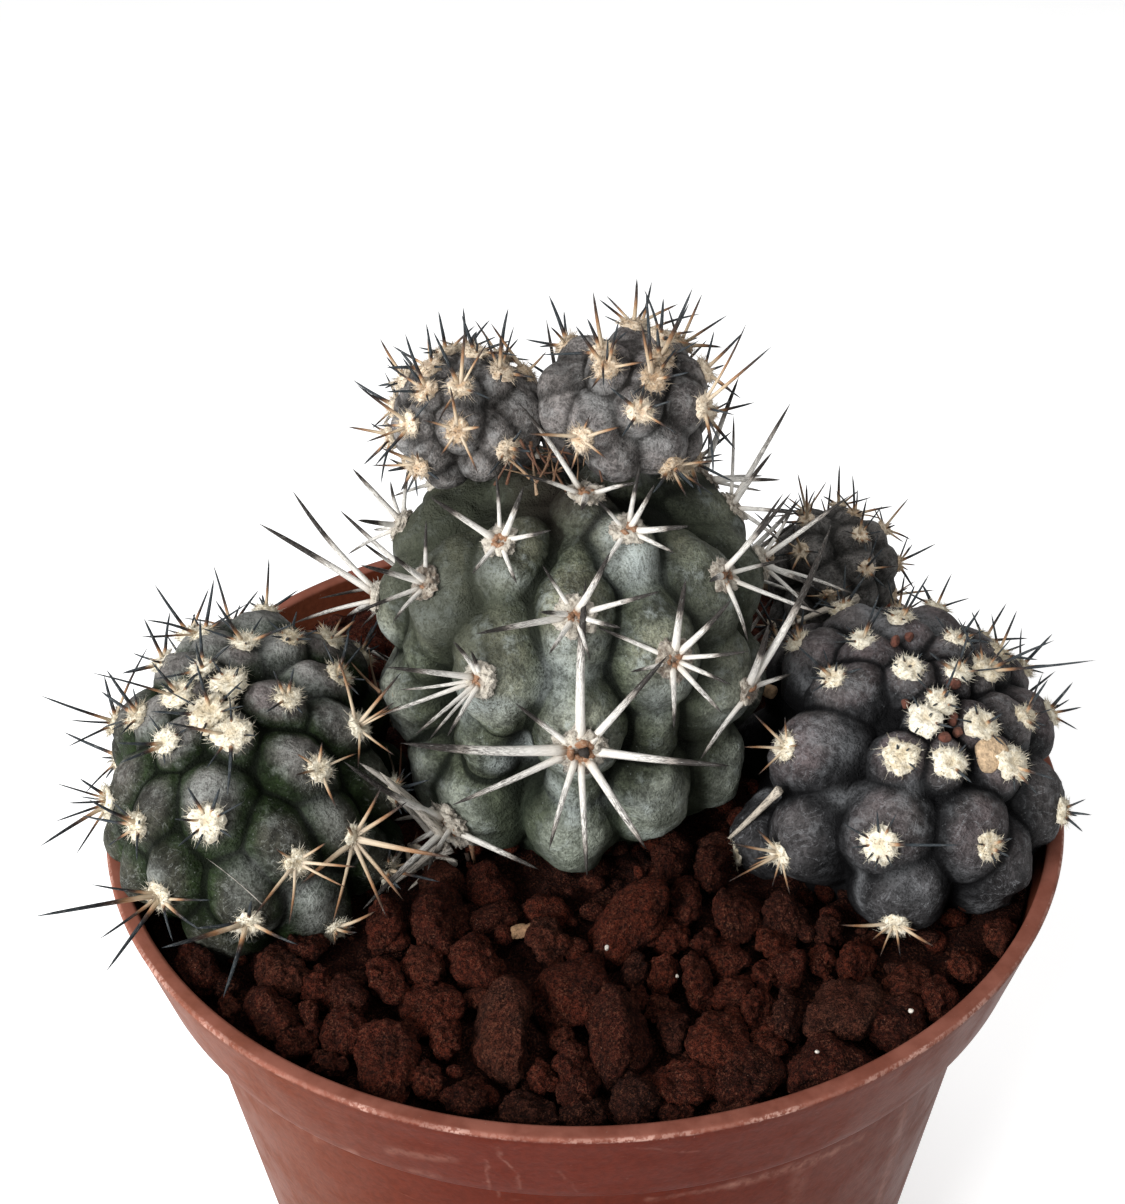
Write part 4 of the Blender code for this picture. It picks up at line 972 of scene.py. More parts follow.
# Smears of bloom and dust seen in the photo: pixels of both ends, half width in millimetres and
# how plainly each shows
SEEN_BLOOM = {
    "main_stem": (
        ((622, 532), (642, 572), 1.7, 0.95), ((560, 664), (590, 672), 1.4, 0.55),
        ((562, 684), (560, 704), 1.3, 0.45), ((530, 744), (498, 764), 1.4, 0.60),
        ((556, 786), (574, 806), 1.5, 0.60), ((547, 668), (540, 690), 1.2, 0.35),
        ((652, 694), (660, 712), 1.3, 0.35), ((438, 580), (444, 606), 1.5, 0.40),
        ((600, 800), (640, 806), 1.0, 0.25), ((470, 700), (462, 716), 1.2, 0.30)),
    "head_left": (
        ((200, 790), (216, 786), 1.6, 0.70), ((306, 892), (318, 912), 1.9, 0.75),
        ((249, 876), (249, 892), 1.8, 0.30), ((150, 876), (156, 876), 0.9, 0.55),
        ((290, 670), (312, 684), 1.4, 0.55), ((252, 622), (276, 648), 2.4, 0.45),
        ((184, 642), (214, 652), 2.2, 0.30), ((326, 812), (340, 824), 1.6, 0.35),
        ((150, 712), (148, 724), 1.2, 0.30)),
    "head_right": (
        ((762, 794), (838, 798), 0.8, 0.50), ((838, 798), (912, 789), 0.8, 0.50),
        ((861, 876), (859, 902), 0.7, 0.50), ((862, 600), (888, 628), 1.2, 0.65),
        ((922, 620), (942, 634), 1.5, 0.55), ((786, 660), (804, 682), 1.0, 0.55),
        ((766, 640), (774, 650), 1.2, 0.45), ((822, 728), (846, 748), 1.5, 0.30),
        ((900, 880), (918, 890), 1.6, 0.25)),
    "head_top_left": (
        ((402, 446), (412, 462), 1.1, 0.55), ((470, 380), (478, 396), 1.0, 0.30)),
    "head_top_right": (
        ((590, 402), (604, 410), 1.0, 0.40), ((640, 436), (664, 448), 1.0, 0.40)),
}


def seam_nearness(head, directions):
    """How much higher the nearest rib or tubercle stands than the next one, millimetres."""
    reaches = bead_reaches(head, directions)
    groups = np.array(head.bead_groups)
    tops = np.sort([reaches[1:][groups == group].max(axis=0) for group in set(head.bead_groups)], axis=0)
    return np.where(reaches[0] > tops[-1], 0.0, tops[-1] - tops[-2])


def seen_bloom(head, points):
    """How plainly a seen smear of bloom shows at each point of a head's flesh."""
    bloom = np.zeros(len(points))
    for first, last, half_width, strength in SEEN_BLOOM.get(head.name, ()):
        start = seen_on(first, head.name)[0]
        run = seen_on(last, head.name)[0] - start
        share = np.clip((points - start) @ run / (run @ run), 0.0, 1.0)
        away = np.linalg.norm(points - start - share[:, None] * run, axis=1)
        bloom = np.maximum(bloom, strength * np.exp(-(away / half_width) ** 2))
    return bloom


def fine_flesh(head, earlier):
    """Points, triangles and skin values of one head."""
    subdivisions, softness, lump, wrinkle = SKINS[head.name]
    directions, faces, edges = sphere_mesh(subdivisions)

    def reach_of(rays):
        return flesh_reach(head, rays, softness, earlier)

    directions = evened(directions, reach_of, edges, RELAX_ROUNDS)
    points = head.centre + directions * reach_of(directions)[:, None]
    normals = point_normals(points, faces)
    spots = np.array([areole.spot for areole in head.areoles])
    near = np.linalg.norm(points[:, None, :] - spots[None, :, :], axis=2)
    nearest = near.argmin(axis=1)
    distance = near.min(axis=1)
    draw = np.random.default_rng(TONE_SEED + len(spots))
    tones = draw.uniform(0.0, 1.0, len(spots))
    weights = np.exp(-(near - distance[:, None]) / TONE_BLEND)
    tone = (weights @ tones) / weights.sum(axis=1)
    downs = np.array([head.down(areole.normal) for areole in head.areoles])
    below = np.sum((points - spots[nearest]) * downs[nearest], axis=1)
    reach = np.linalg.norm(points - head.centre, axis=1)
    groove = head.egg(directions) - reach
    crease = np.zeros(len(points))
    for rounds in CREASE_ROUNDS:
        crease = np.maximum(crease, (averaged(reach, edges, rounds) - reach) / (0.05 * rounds))
    quiet = np.clip((points[:, 2] - head.foot_z) / QUIET_FOOT, 0.0, 1.0)
    relief = lump * ripples(points, LUMP_LENGTH, LUMP_SEED + len(spots))
    relief += wrinkle * ripples(points, WRINKLE_LENGTH, WRINKLE_SEED)
    points = points + normals * (relief * quiet)[:, None]
    values = {"areole": distance, "tone": tone, "below": below, "groove": groove, "crease": crease,
              "smear": seen_bloom(head, points), "seam": seam_nearness(head, directions)}
    return points, faces, values


def averaged(values, edges, rounds):
    """Values smoothed over a mesh's neighbours, a few rounds over."""
    links = np.bincount(edges.ravel(), minlength=len(values))
    for _ in range(rounds):
        total = np.bincount(edges[:, 0], values[edges[:, 1]], len(values))
        total += np.bincount(edges[:, 1], values[edges[:, 0]], len(values))
        values = 0.3 * values + 0.7 * total / links
    return values


# Spines

COLLAR_SPHERE = sphere_mesh(2)

# For each head: how many spines an areole carries, how long and thick the small added ones are
# beside the main ones, and the sides and rings of each
ADDED_SPINES = {
    "main_stem": (8, 0.62, 0.62, 8, 9),
    "head_left": (8, 0.62, 0.60, 6, 6),
    "head_right": (7, 0.60, 0.60, 6, 6),
    "head_top_left": (5, 1.05, 0.70, 5, 6),
    "head_top_right": (5, 1.05, 0.70, 5, 6),
    "head_back_right": (7, 0.75, 0.70, 5, 5),
}
# Root thickness of the strongest spines of an areole in millimetres, the share of it that the
# next ones have, how many are counted among each, and the areoles whose spines are all thicker
SPINE_WIDTH = {
    "main_stem": 0.66, "head_left": 0.42, "head_right": 0.38,
    "head_top_left": 0.42, "head_top_right": 0.44, "head_back_right": 0.36,
}
MIDDLE_WIDTH = 0.74
STRONGEST_SPINES = 2
MIDDLE_SPINES = 6
WIDER_SPINES = {("main_stem", (0, 2)): 1.75, ("main_stem", (11, 2)): 1.35, ("main_stem", (2, 2)): 1.25,
                ("main_stem", (0, 1)): 1.15, ("main_stem", (1, 1)): 1.15,
                ("main_stem", (9, 1)): 1.15, ("head_left", 14): 1.5, ("head_left", 12): 1.2,
                ("head_left", 15): 1.4}
# Added spines: trials for the widest gap, how far they lean from straight out in degrees, and how
# far their lengths stray; one whose way out is within this cosine of straight fills no gap
EXTRA_TRIALS = 16
EXTRA_TILTS = (56.0, 78.0)
EXTRA_LENGTHS = (0.55, 1.2)
STRAIGHT_OUT = 0.94
# Where a spine stands in its cushion, as shares of the cushion's radius out from its middle and
# up, how far thicknesses stray, and how far a spine bends out and aside, as shares of its length
ROOT_SPREAD = 0.5
ROOT_RISE = 0.12
WIDTH_STRAY = (0.88, 1.1)
BEND_OUT = (-0.015, 0.035)
BEND_ASIDE = 0.008
# Tones of the offsets' spines, from tan for most of their length to dark, and the areoles whose
# spines are tan
PALE_TONES = (0.0, 0.35)
DARK_TONES = (0.45, 1.0)
PALE_AREOLES = (("head_left", 8), ("head_left", 9), ("head_left", 13), ("head_left", 14),
                ("head_left", 16), ("head_left", 18), ("head_right", 3), ("head_right", 10),
                ("head_right", 15), ("head_top_left", 3), ("head_top_left", 7), ("head_top_right", 1))
# The young offsets' tones begin at this share of the others'
YOUNG_TONE = 0.4
# On the main stem spines that point down are paler than this tone, and the others darker
TONE_TURN = 0.45


def add_spine(heap, root, tip, width, bend, tone, sides, rings, blunt=False):
    """One spine, a little bent, with a swollen root: thick to its end if blunt, else tapered."""
    along = np.linspace(0.0, 1.0, rings + 1)[:-1]
    length = np.linalg.norm(tip - root)
    axis = (tip - root) / length
    first = unit(np.cross(axis, (0.23, 0.61, 0.75)))
    second = np.cross(axis, first)
    turns = 2.0 * math.pi * np.arange(sides) / sides
    middle = root + (tip - root) * along[:, None] + bend * (length * np.sin(math.pi * along))[:, None]
    profile = (1.0 - 0.45 * along) * (1.0 - along ** 9) if blunt else (1.0 - along) ** 0.40
    radius = 0.5 * width * profile
    radius *= 1.0 + 0.22 * np.exp(-(along * length / width) ** 2)
    spokes = np.cos(turns)[:, None] * first + np.sin(turns)[:, None] * second
    points = middle[:, None, :] + radius[:, None, None] * spokes[None, :, :]
    points = np.concatenate((points.reshape(-1, 3), tip[None, :]))
    faces = []
    for ring in range(rings - 1):
        for side in range(sides):
            after = (side + 1) % sides
            low, high = ring * sides, (ring + 1) * sides
            faces += two_triangles(low + side, low + after, high + after, high + side)
    last = (rings - 1) * sides
    for side in range(sides):
        faces.append((last + side, last + (side + 1) % sides, rings * sides))
    for side in range(1, sides - 1):
        faces.append((0, side + 1, side))
    share = np.append(np.repeat(along, sides), 1.0)
    grain = np.stack((share * length * 0.35 + 37.0 * tone,
                      np.append(np.tile(np.cos(turns), rings), 0.0) * 0.8,
                      np.append(np.tile(np.sin(turns), rings), 0.0) * 0.8), axis=1)
    heap.add(points, faces, along=share, tone=tone, grain=grain)


def add_collar(heap, root, axis, radius, tone):
    """The brown bulb that a strong spine stands in."""
    directions, faces, _ = COLLAR_SPHERE
    relief = 1.0 + 0.12 * ripples(directions * 2.0 + 9.0 * tone, 1.3, COLLAR_SEED, 12)
    flat = directions - np.outer(directions @ axis, axis) * 0.35
    heap.add(root + flat * relief[:, None] * radius, faces, along=0.0, tone=tone,
             grain=directions * 2.0)


def extra_tips(head, areole, tips, wanted, draw):
    """Smaller spines in the widest gaps between those that an areole already has."""
    up = -head.down(areole.normal)
    aside = np.cross(areole.normal, up)
    turns = []
    for tip in tips:
        flat = tip - areole.spot
        if unit(flat) @ areole.normal < STRAIGHT_OUT:
            turns.append(math.atan2(flat @ aside, flat @ up))
    extras = []
    for _ in range(wanted - len(tips)):
        trials = draw.uniform(-math.pi, math.pi, EXTRA_TRIALS)
        if turns:
            gaps = np.abs((trials[:, None] - np.array(turns)[None, :] + math.pi) % (2.0 * math.pi)
                          - math.pi).min(axis=1)
            turn = float(trials[gaps.argmax()])
        else:
            turn = float(trials[0])
        turns.append(turn)
        tilt = math.radians(draw.uniform(*EXTRA_TILTS))
        length = head.spine_length * ADDED_SPINES[head.name][1] * draw.uniform(*EXTRA_LENGTHS)
        flat = up * math.cos(turn) + aside * math.sin(turn)
        out = areole.normal * math.cos(tilt) + flat * math.sin(tilt)
        extras.append(areole.spot + out * length)
    return extras


def spine_plan(head, placed):
    """The open areoles of a head, each with the tips of the spines that its solids carry."""
    plan = []
    for areole in open_areoles(head):
        tips = []
        for tip in planned_tips(head, areole, SPINES_PER_AREOLE[head.name]):
            tip = bent_clear(head, areole, tip, placed)
            if tip is not None:
                placed.append((head.name, areole.spot, tip))
                tips.append(tip)
        plan.append((areole, tips))
    return plan


def add_spines(head, plan, heap):
    """All spines of one head."""
    wanted, _, thinner, sides, rings = ADDED_SPINES[head.name]
    main = head.name == "main_stem"
    draw = np.random.default_rng(SPINE_SEED + int(head.radius * 10.0))
    for areole, tips in plan:
        seen = len(tips)
        shown = seen_tips(head, areole)
        more = shown[seen:]
        count = wanted
        if head.name not in SMALL_HEADS:
            count = min(wanted, len(shown) + 1) if len(shown) > 2 else wanted - 2
        more += extra_tips(head, areole, tips + more, count, draw)
        for number, tip in enumerate(tips + more):
            if number >= seen:
                tip = bent_clear(head, areole, tip, [])
                if tip is None:
                    continue
            flat = unit(tip - areole.spot)
            offset = flat - areole.normal * (flat @ areole.normal)
            reach = areole_radius(head, areole)
            root = areole.spot + offset * reach * ROOT_SPREAD + areole.normal * reach * ROOT_RISE
            thickness = 1.0
            if number >= STRONGEST_SPINES:
                thickness = MIDDLE_WIDTH if number < max(seen, MIDDLE_SPINES) else thinner
            width = SPINE_WIDTH[head.name] * thickness
            width *= WIDER_SPINES.get((head.name, areole.key), 1.0) * draw.uniform(*WIDTH_STRAY)
            bend = areole.normal * draw.uniform(*BEND_OUT) + draw.normal(size=3) * BEND_ASIDE
            tone = draw.uniform(0.0, 1.0)
            if main:
                pointing_down = tip[2] < root[2]
                tone = TONE_TURN * tone if pointing_down else TONE_TURN + (1.0 - TONE_TURN) * tone
            else:
                low, high = PALE_TONES if (head.name, areole.key) in PALE_AREOLES else DARK_TONES
                low = YOUNG_TONE * low if head.name in SMALL_HEADS else low
                tone = low + (high - low) * tone
            add_spine(heap, root, tip, width, bend, tone, sides, rings, main)
            if main:
                add_collar(heap, root, unit(tip - root), width * draw.uniform(0.75, 1.0), tone)


def seen_tips(head, areole):
    """Every spine tip of an areole that the photo shows."""
    key = (head.name, areole.key)
    seen = SEEN_SPINES.get(key, ()) + MORE_SPINES.get(key, ())
    tips = [seen_tip(areole, pixel, length) for pixel, length in seen]
    seen = SEEN_TIPS.get(key, ())
    return tips + [seen_tip(areole, pixel) for pixel in seen]


# Wool

# For each head: radius of an areole's cushion, how much it stands out, hairs on it, their length
WOOL = {
    "main_stem": (1.65, 0.45, 150, 0.36),
    "head_left": (1.28, 0.50, 270, 0.66),
    "head_right": (1.28, 0.50, 230, 0.56),
    "head_top_left": (1.15, 0.55, 170, 0.72),
    "head_top_right": (1.20, 0.55, 170, 0.74),
    "head_back_right": (0.95, 0.50, 100, 0.48),
}
# Areoles whose cushion is wider or narrower than the rest of their head's
AREOLE_SIZES = {
    ("main_stem", (0, 2)): 1.45, ("main_stem", (0, 1)): 1.15, ("main_stem", (1, 1)): 1.15,
    ("main_stem", (11, 1)): 1.02, ("main_stem", (11, 2)): 1.5,
    ("head_left", 2): 1.25, ("head_left", 3): 1.3, ("head_left", 6): 1.6, ("head_left", 7): 1.4,
    ("head_left", 11): 1.35, ("head_left", 12): 1.05, ("head_left", 10): 1.2,
    ("head_right", 11): 1.35, ("head_right", 4): 1.25, ("head_right", 1): 1.2,
    ("head_right", 7): 1.3, ("head_right", 2): 1.25, ("head_right", 5): 1.2, ("head_right", 6): 1.25,
    ("head_right", 9): 1.4, ("head_right", 8): 1.1,
}
HAIR_WIDTH = 0.058
# How deep the middle of a cushion is pressed in
CUSHION_HOLLOW = 0.55


def areole_radius(head, areole):
    """Radius of an areole's cushion."""
    return WOOL[head.name][0] * AREOLE_SIZES.get((head.name, areole.key), 1.0)


def areole_frame(areole):
    """Two directions across an areole and the one out of it."""
    first = unit(np.cross(areole.normal, (0.31, 0.17, 0.94)))
    return first, np.cross(areole.normal, first), areole.normal


def add_cushion(heap, areole, radius, rise, sphere, seed, tone):
    """A felted lump of wool, tufty all over."""
    directions, faces, _ = sphere
    first, second, out = areole_frame(areole)
    relief = 1.0 + 0.18 * ripples(directions * radius, 1.5, seed)
    relief += 0.17 * ripples(directions * radius, 0.5, seed + 1)
    local = directions * relief[:, None] * np.array((radius, radius, radius * rise))
    spread = np.hypot(local[:, 0], local[:, 1]) / radius
    middle = np.exp(-(spread / 0.42) ** 2)
    local[:, 2] -= CUSHION_HOLLOW * radius * rise * middle * (directions[:, 2] > 0.0)
    points = areole.spot + local[:, :1] * first + local[:, 1:2] * second + local[:, 2:] * out
    heap.add(points, faces, tone=tone, along=0.2 - 0.5 * middle)
    return points[directions[:, 2] > -0.1], directions[directions[:, 2] > -0.1]


def add_hairs(heap, roots, ways, lengths, curls, tones):
    """Fine bent hairs, three-sided and pointed, all made at once."""
    count = len(roots)
    ways = units(ways)
    sides = units(np.cross(ways, (0.27, 0.55, 0.79)))
    others = np.cross(ways, sides)
    middles = roots + ways * (0.5 * lengths)[:, None] + curls * (0.22 * lengths)[:, None]
    tips = roots + ways * (0.92 * lengths)[:, None] + curls * (0.8 * lengths)[:, None]
    points = []
    for centre, width in ((roots, HAIR_WIDTH), (middles, HAIR_WIDTH * 0.75)):
        for corner in range(3):
            turn = 2.0 * math.pi * corner / 3
            points.append(centre + (sides * math.cos(turn) + others * math.sin(turn)) * width * 0.5)
    points.append(tips)
    points = np.stack(points, axis=1).reshape(-1, 3)
    single = []
    for corner in range(3):
        after = (corner + 1) % 3
        single += two_triangles(corner, after, 3 + after, 3 + corner)
        single.append((3 + corner, 3 + after, 6))
    single.append((0, 2, 1))
    faces = (np.array(single)[None, :, :] + 7 * np.arange(count)[:, None, None]).reshape(-1, 3)
    along = np.tile((0.0, 0.0, 0.0, 0.5, 0.5, 0.5, 1.0), count)
    heap.add(points, faces, tone=np.repeat(tones, 7), along=along)


def add_wool(head, areole, heap, sphere, number):
    """The cushion and the hairs of one areole."""
    _, rise, hairs, length = WOOL[head.name]
    radius = areole_radius(head, areole)
    draw = np.random.default_rng(WOOL_SEED + 97 * number + int(head.radius * 10.0))
    tone = draw.uniform(0.0, 1.0)
    surface, ways = add_cushion(heap, areole, radius, rise, sphere, CUSHION_SEED + number, tone)
    pick = draw.integers(0, len(surface), hairs)
    first, second, out = areole_frame(areole)
    ways = ways[pick]
    outward = ways[:, :1] * first + ways[:, 1:2] * second + ways[:, 2:] * out * 0.5
    outward = outward + draw.normal(size=(hairs, 3)) * 0.35 + out * 0.12
    lengths = length * draw.uniform(0.5, 1.25, hairs)
    curls = draw.normal(size=(hairs, 3)) * 0.5
    tones = np.clip(tone + draw.normal(size=hairs) * 0.25, 0.0, 1.0)
    add_hairs(heap, surface[pick] - outward * 0.1, outward, lengths, curls, tones)


# Litter: dead spines, crumbs and a flake that lie on the plant and the grit

# Dead spines that the photo shows: both ends by pixel, what each end lies on, how far it stands
# off that in millimetres, root thickness and tone, from grey white through tan to dark
DEAD_SPINES = (
    ((712, 828), "main_stem", 2.2, (787, 789), "head_right", 1.8, 0.85, 0.25),
    ((795, 636), "head_right", 1.5, (853, 594), "head_back_right", 1.5, 0.95, 0.20),
    ((447, 897), "main_stem", 0.6, (551, 906), "main_stem", 0.7, 0.60, 0.10),
    ((571, 905), "main_stem", 0.4, (590, 917), "main_stem", 0.6, 0.55, 0.15),
    ((590, 925), "main_stem", 0.8, (648, 868), "main_stem", 0.8, 0.45, 0.30),
    ((352, 764), "head_left", 1.6, (446, 818), "main_stem", 1.6, 1.05, 0.02),
    ((372, 772), "head_left", 1.4, (452, 826), "main_stem", 1.8, 0.95, 0.10),
    ((384, 792), "head_left", 1.2, (440, 828), "main_stem", 1.2, 0.85, 0.00),
    ((399, 803), "head_left", 1.0, (452, 838), "main_stem", 1.3, 0.80, 0.16),
    ((378, 884), "head_left", 1.2, (446, 836), "main_stem", 1.2, 0.80, 0.05),
    ((398, 872), "head_left", 1.0, (456, 842), "main_stem", 0.9, 0.85, 0.00),
    ((412, 884), "main_stem", 0.9, (452, 850), "main_stem", 0.9, 0.70, 0.12),
    ((436, 896), "main_stem", 0.8, (458, 852), "main_stem", 0.9, 0.65, 0.08),
    ((478, 905), "main_stem", 0.8, (470, 846), "main_stem", 0.9, 0.50, 0.95),
    ((492, 902), "main_stem", 0.7, (474, 840), "main_stem", 0.8, 0.45, 0.62),
    ((398, 690), "main_stem", 0.8, (414, 762), "head_left", 0.9, 0.35, 0.55),
    ((392, 742), "main_stem", 0.8, (396, 806), "head_left", 0.8, 0.35, 0.40),
    ((407, 738), "main_stem", 0.8, (402, 800), "main_stem", 0.8, 0.32, 0.70),
    ((362, 652), "head_left", 1.2, (372, 702), "head_left", 1.1, 0.32, 0.45),
    ((378, 662), "head_left", 1.0, (384, 716), "head_left", 1.0, 0.32, 0.75),
    ((345, 668), "head_left", 1.1, (388, 690), "main_stem", 1.0, 0.35, 0.60),
    ((207, 855), "head_left", 0.8, (262, 900), "head_left", 1.0, 0.10, 0.02),
    ((588, 756), "main_stem", 0.5, (583, 746), "main_stem", 1.5, 0.90, 1.00),
    ((402, 812), "main_stem", 1.4, (432, 806), "main_stem", 1.6, 0.60, 0.02),
    ((412, 858), "head_left", 1.2, (438, 872), "main_stem", 1.4, 0.75, 0.02),
    ((396, 842), "head_left", 1.5, (420, 862), "main_stem", 1.6, 0.80, 0.30),
    ((424, 822), "main_stem", 1.2, (418, 862), "main_stem", 1.5, 0.55, 0.70),
    ((386, 858), "head_left", 1.2, (410, 838), "main_stem", 1.5, 0.70, 0.04),
)
# Crumbs: pixel, what it lies on, size in millimetres and tone from red through tan to white
CRUMBS = (
    ((895, 643), "head_right", 1.3, 0.0), ((909, 639), "head_right", 1.1, 0.0),
    ((953, 685), "head_right", 1.3, 0.0), ((905, 705), "head_right", 1.2, 0.0),
    ((952, 720), "head_right", 1.5, 0.0), ((944, 738), "head_right", 1.4, 0.0),
    ((957, 733), "head_right", 1.2, 0.1), ((765, 690), "main_stem", 1.9, 0.55),
    ((607, 949), "grit", 0.55, 1.0), ((677, 977), "grit", 0.40, 0.9), ((817, 1053), "grit", 0.45, 1.0),
    ((911, 1012), "grit", 0.50, 1.0), ((540, 452), "head_top_right", 1.2, 1.0),
)
# Husks and a flake: pixel, what it lies on, length, width and thickness in millimetres, turn in
# degrees and tone
FLAKES = (
    ((990, 755), "head_right", 4.2, 3.4, 0.9, 20.0, 0.62),
    ((512, 936), "grit", 3.6, 1.3, 1.0, 62.0, 0.50),
    ((526, 933), "grit", 3.2, 1.2, 0.9, 55.0, 0.45),
    ((448, 862), "main_stem", 3.0, 1.6, 0.7, 40.0, 0.95),
    ((430, 858), "main_stem", 2.6, 1.4, 0.6, -30.0, 0.90),
    ((418, 846), "main_stem", 2.4, 1.2, 0.6, 15.0, 0.80),
    ((560, 908), "main_stem", 2.0, 1.1, 0.6, 10.0, 0.55),
)
# Middle of the hollow between the small top heads, which the main stem's skin darkens with painted
# shade, and the dead spines in it: how many, how widely they are strewn, where their middle lies
# from the hollow's, their half lengths, root thicknesses and tones
CAVITY = np.array((-2.6, 1.0, 120.5))
CAVITY_SPINES = 26
CAVITY_SPREAD = np.array((2.6, 1.2, 0.8))
CAVITY_SHIFT = np.array((0.0, -1.0, 0.6))
CAVITY_REACHES = (1.2, 2.6)
CAVITY_WIDTHS = (0.18, 0.34)
CAVITY_TONES = (0.45, 0.85)


def seen_on(pixel, holder):
    """The point that a pixel shows on a head's flesh or on the grit, and the way out of it."""
    if holder == "grit":
        points = sight_points(pixel, 120.0, 230.0, 4001)
        under = points[:, 2] < grit_height(points)
        return points[int(np.argmax(under))], np.array((0.0, 0.0, 1.0))
    head = HEADS[holder]
    points = sight_points(pixel, 110.0, 230.0, 3001)
    away = points - head.centre
    distance = np.linalg.norm(away, axis=1)
    spot = points[first_inside(distance - head.body(away / distance[:, None]))]
    return spot, unit(0.6 * unit(spot - head.centre) - 0.4 * sight_line(pixel))


def build_litter(horn, look):
    """Everything loose on the plant: dead spines, crumbs, husks and flakes."""
    draw = np.random.default_rng(LITTER_SEED)
    dead = Heap()
    for first, low, low_gap, last, high, high_gap, width, tone in DEAD_SPINES:
        start, out = seen_on(first, low)
        end, away = seen_on(last, high)
        start, end = start + out * low_gap, end + away * high_gap
        add_spine(dead, end, start, width, draw.normal(size=3) * 0.02, tone, 6, 8)
    for _ in range(CAVITY_SPINES):
        middle = CAVITY + draw.normal(size=3) * CAVITY_SPREAD + CAVITY_SHIFT
        way = unit(draw.normal(size=3) + np.array((0.0, -0.2, 0.5))) * draw.uniform(*CAVITY_REACHES)
        width = draw.uniform(*CAVITY_WIDTHS)
        bend = draw.normal(size=3) * 0.03
        add_spine(dead, middle - way, middle + way, width, bend, draw.uniform(*CAVITY_TONES), 5, 5)
    dead.build("dead_spines", horn)
    sphere = sphere_mesh(3)
    litter = Heap()
    for pixel, holder, size, tone in CRUMBS:
        spot, out = seen_on(pixel, holder)
        axes = np.diag(size * draw.uniform(0.38, 0.58, 3))
        litter.add(spot + out * 0.3 * size + rock(sphere, draw, 7, 16.0) @ axes, sphere[1], tone=tone)
    for pixel, holder, length, width, thick, turn, tone in FLAKES:
        spot, out = seen_on(pixel, holder)
        first = turned_in_view(turn)[0]
        first = unit(first - out * (first @ out))
        second = np.cross(out, first)
        shape = rock(sphere, draw, 6, 20.0)
        axes = np.array((first * length * 0.5, second * width * 0.5, out * thick * 0.5))
        litter.add(spot + out * 0.35 * thick + shape @ axes, sphere[1], tone=tone)
    litter.build("loose_crumbs", look)


# Grit

STONE_SWELL = 1.06
# Small grains: how many, out to where, and their half sizes
GRAIN_COUNT = 420
GRAIN_REACH = 45.5
GRAIN_SIZES = (0.5, 1.5)
# The bed under the stones: points round it and rings on its top
BED_SECTORS = 180
BED_RINGS = 48


def rock(sphere, draw, flats, hardness):
    """A unit lump with flats knocked into it."""
    directions = sphere[0]
    total = np.ones(len(directions))
    for _ in range(flats):
        facing = np.maximum(directions @ unit(draw.normal(size=3)), 0.0)
        total += (facing / draw.uniform(0.66, 0.95)) ** hardness
    return directions * (total ** (-1.0 / hardness))[:, None]


def kept_in_pot(points):
    """Press points that would stand in the pot's wall back against its inside."""
    radial = off_axis(points)
    limit = np.interp(points[:, 2], (0.0, STEP_Z, RIM_Z),
                      (wall_inner_radius(0.0), NARROWEST_INSIDE, wall_inner_radius(RIM_Z)))
    limit -= SOIL_GAP
    share = np.where((radial > limit) & (points[:, 2] < RIM_Z + 0.5), limit / radial, 1.0)
    points = points.copy()
    points[:, :2] *= share[:, None]
    return points


def add_stone(heap, middle, axes, sphere, draw, tone):
    """One stone of porous lava: an uneven block with blisters and pits."""
    shape = rock(sphere, draw, 11, 6.5)
    points = middle + shape @ axes * STONE_SWELL
    normals = point_normals(points, sphere[1])
    size = float(np.mean(np.linalg.norm(axes, axis=1)))
    seed = int(draw.integers(0, 100000))
    relief = 0.085 * size * ripples(points, 0.9 * size, seed)
    relief += 0.16 * ripples(points, 1.3, seed + 1)
    relief -= 0.28 * np.maximum(ripples(points, 0.85, seed + 2), 0.0)
    relief += 0.16 * ripples(points, 0.55, seed + 3)
    points = kept_in_pot(points + normals * relief[:, None])
    # How deep each point lies in a dip, for the painted shade there
    heap.add(points, sphere[1], tone=tone, hollow=np.clip(-relief, 0.0, 1.0))


def build_grit(look):
    """The stones that show, the stones between them, small grains and the bed under them all."""
    fine, coarse = sphere_mesh(4), sphere_mesh(3)
    draw = np.random.default_rng(GRIT_SEED)
    front = Heap()
    fill = Heap()
    for number, (middle, axes) in enumerate(STONES):
        seen = number < len(SEEN_STONES)
        add_stone(front if seen else fill, middle, axes, fine if seen else coarse, draw,
                  draw.uniform(0.0, 1.0))
    front.build("lava_stones_front", look, ("soil",))
    fill.build("lava_stones_back", look, ("soil",))
    grains = Heap()
    small = sphere_mesh(2)
    for _ in range(GRAIN_COUNT):
        reach = GRAIN_REACH * math.sqrt(draw.uniform(0.0, 1.0))
        turn = draw.uniform(0.0, 2.0 * math.pi)
        size = draw.uniform(*GRAIN_SIZES)
        middle = np.array((reach * math.cos(turn), reach * math.sin(turn), 0.0))
        middle[2] = SOIL_Z + 0.6 + draw.uniform(-0.4, 1.4)
        axes = np.diag((size * draw.uniform(0.8, 1.4), size, size * draw.uniform(0.6, 1.0)))
        points = kept_in_pot(middle + rock(small, draw, 8, 8.0) @ axes)
        grains.add(points, small[1], tone=draw.uniform(0.0, 1.0), hollow=0.0)
    grains.build("lava_grains", look, ("soil",))


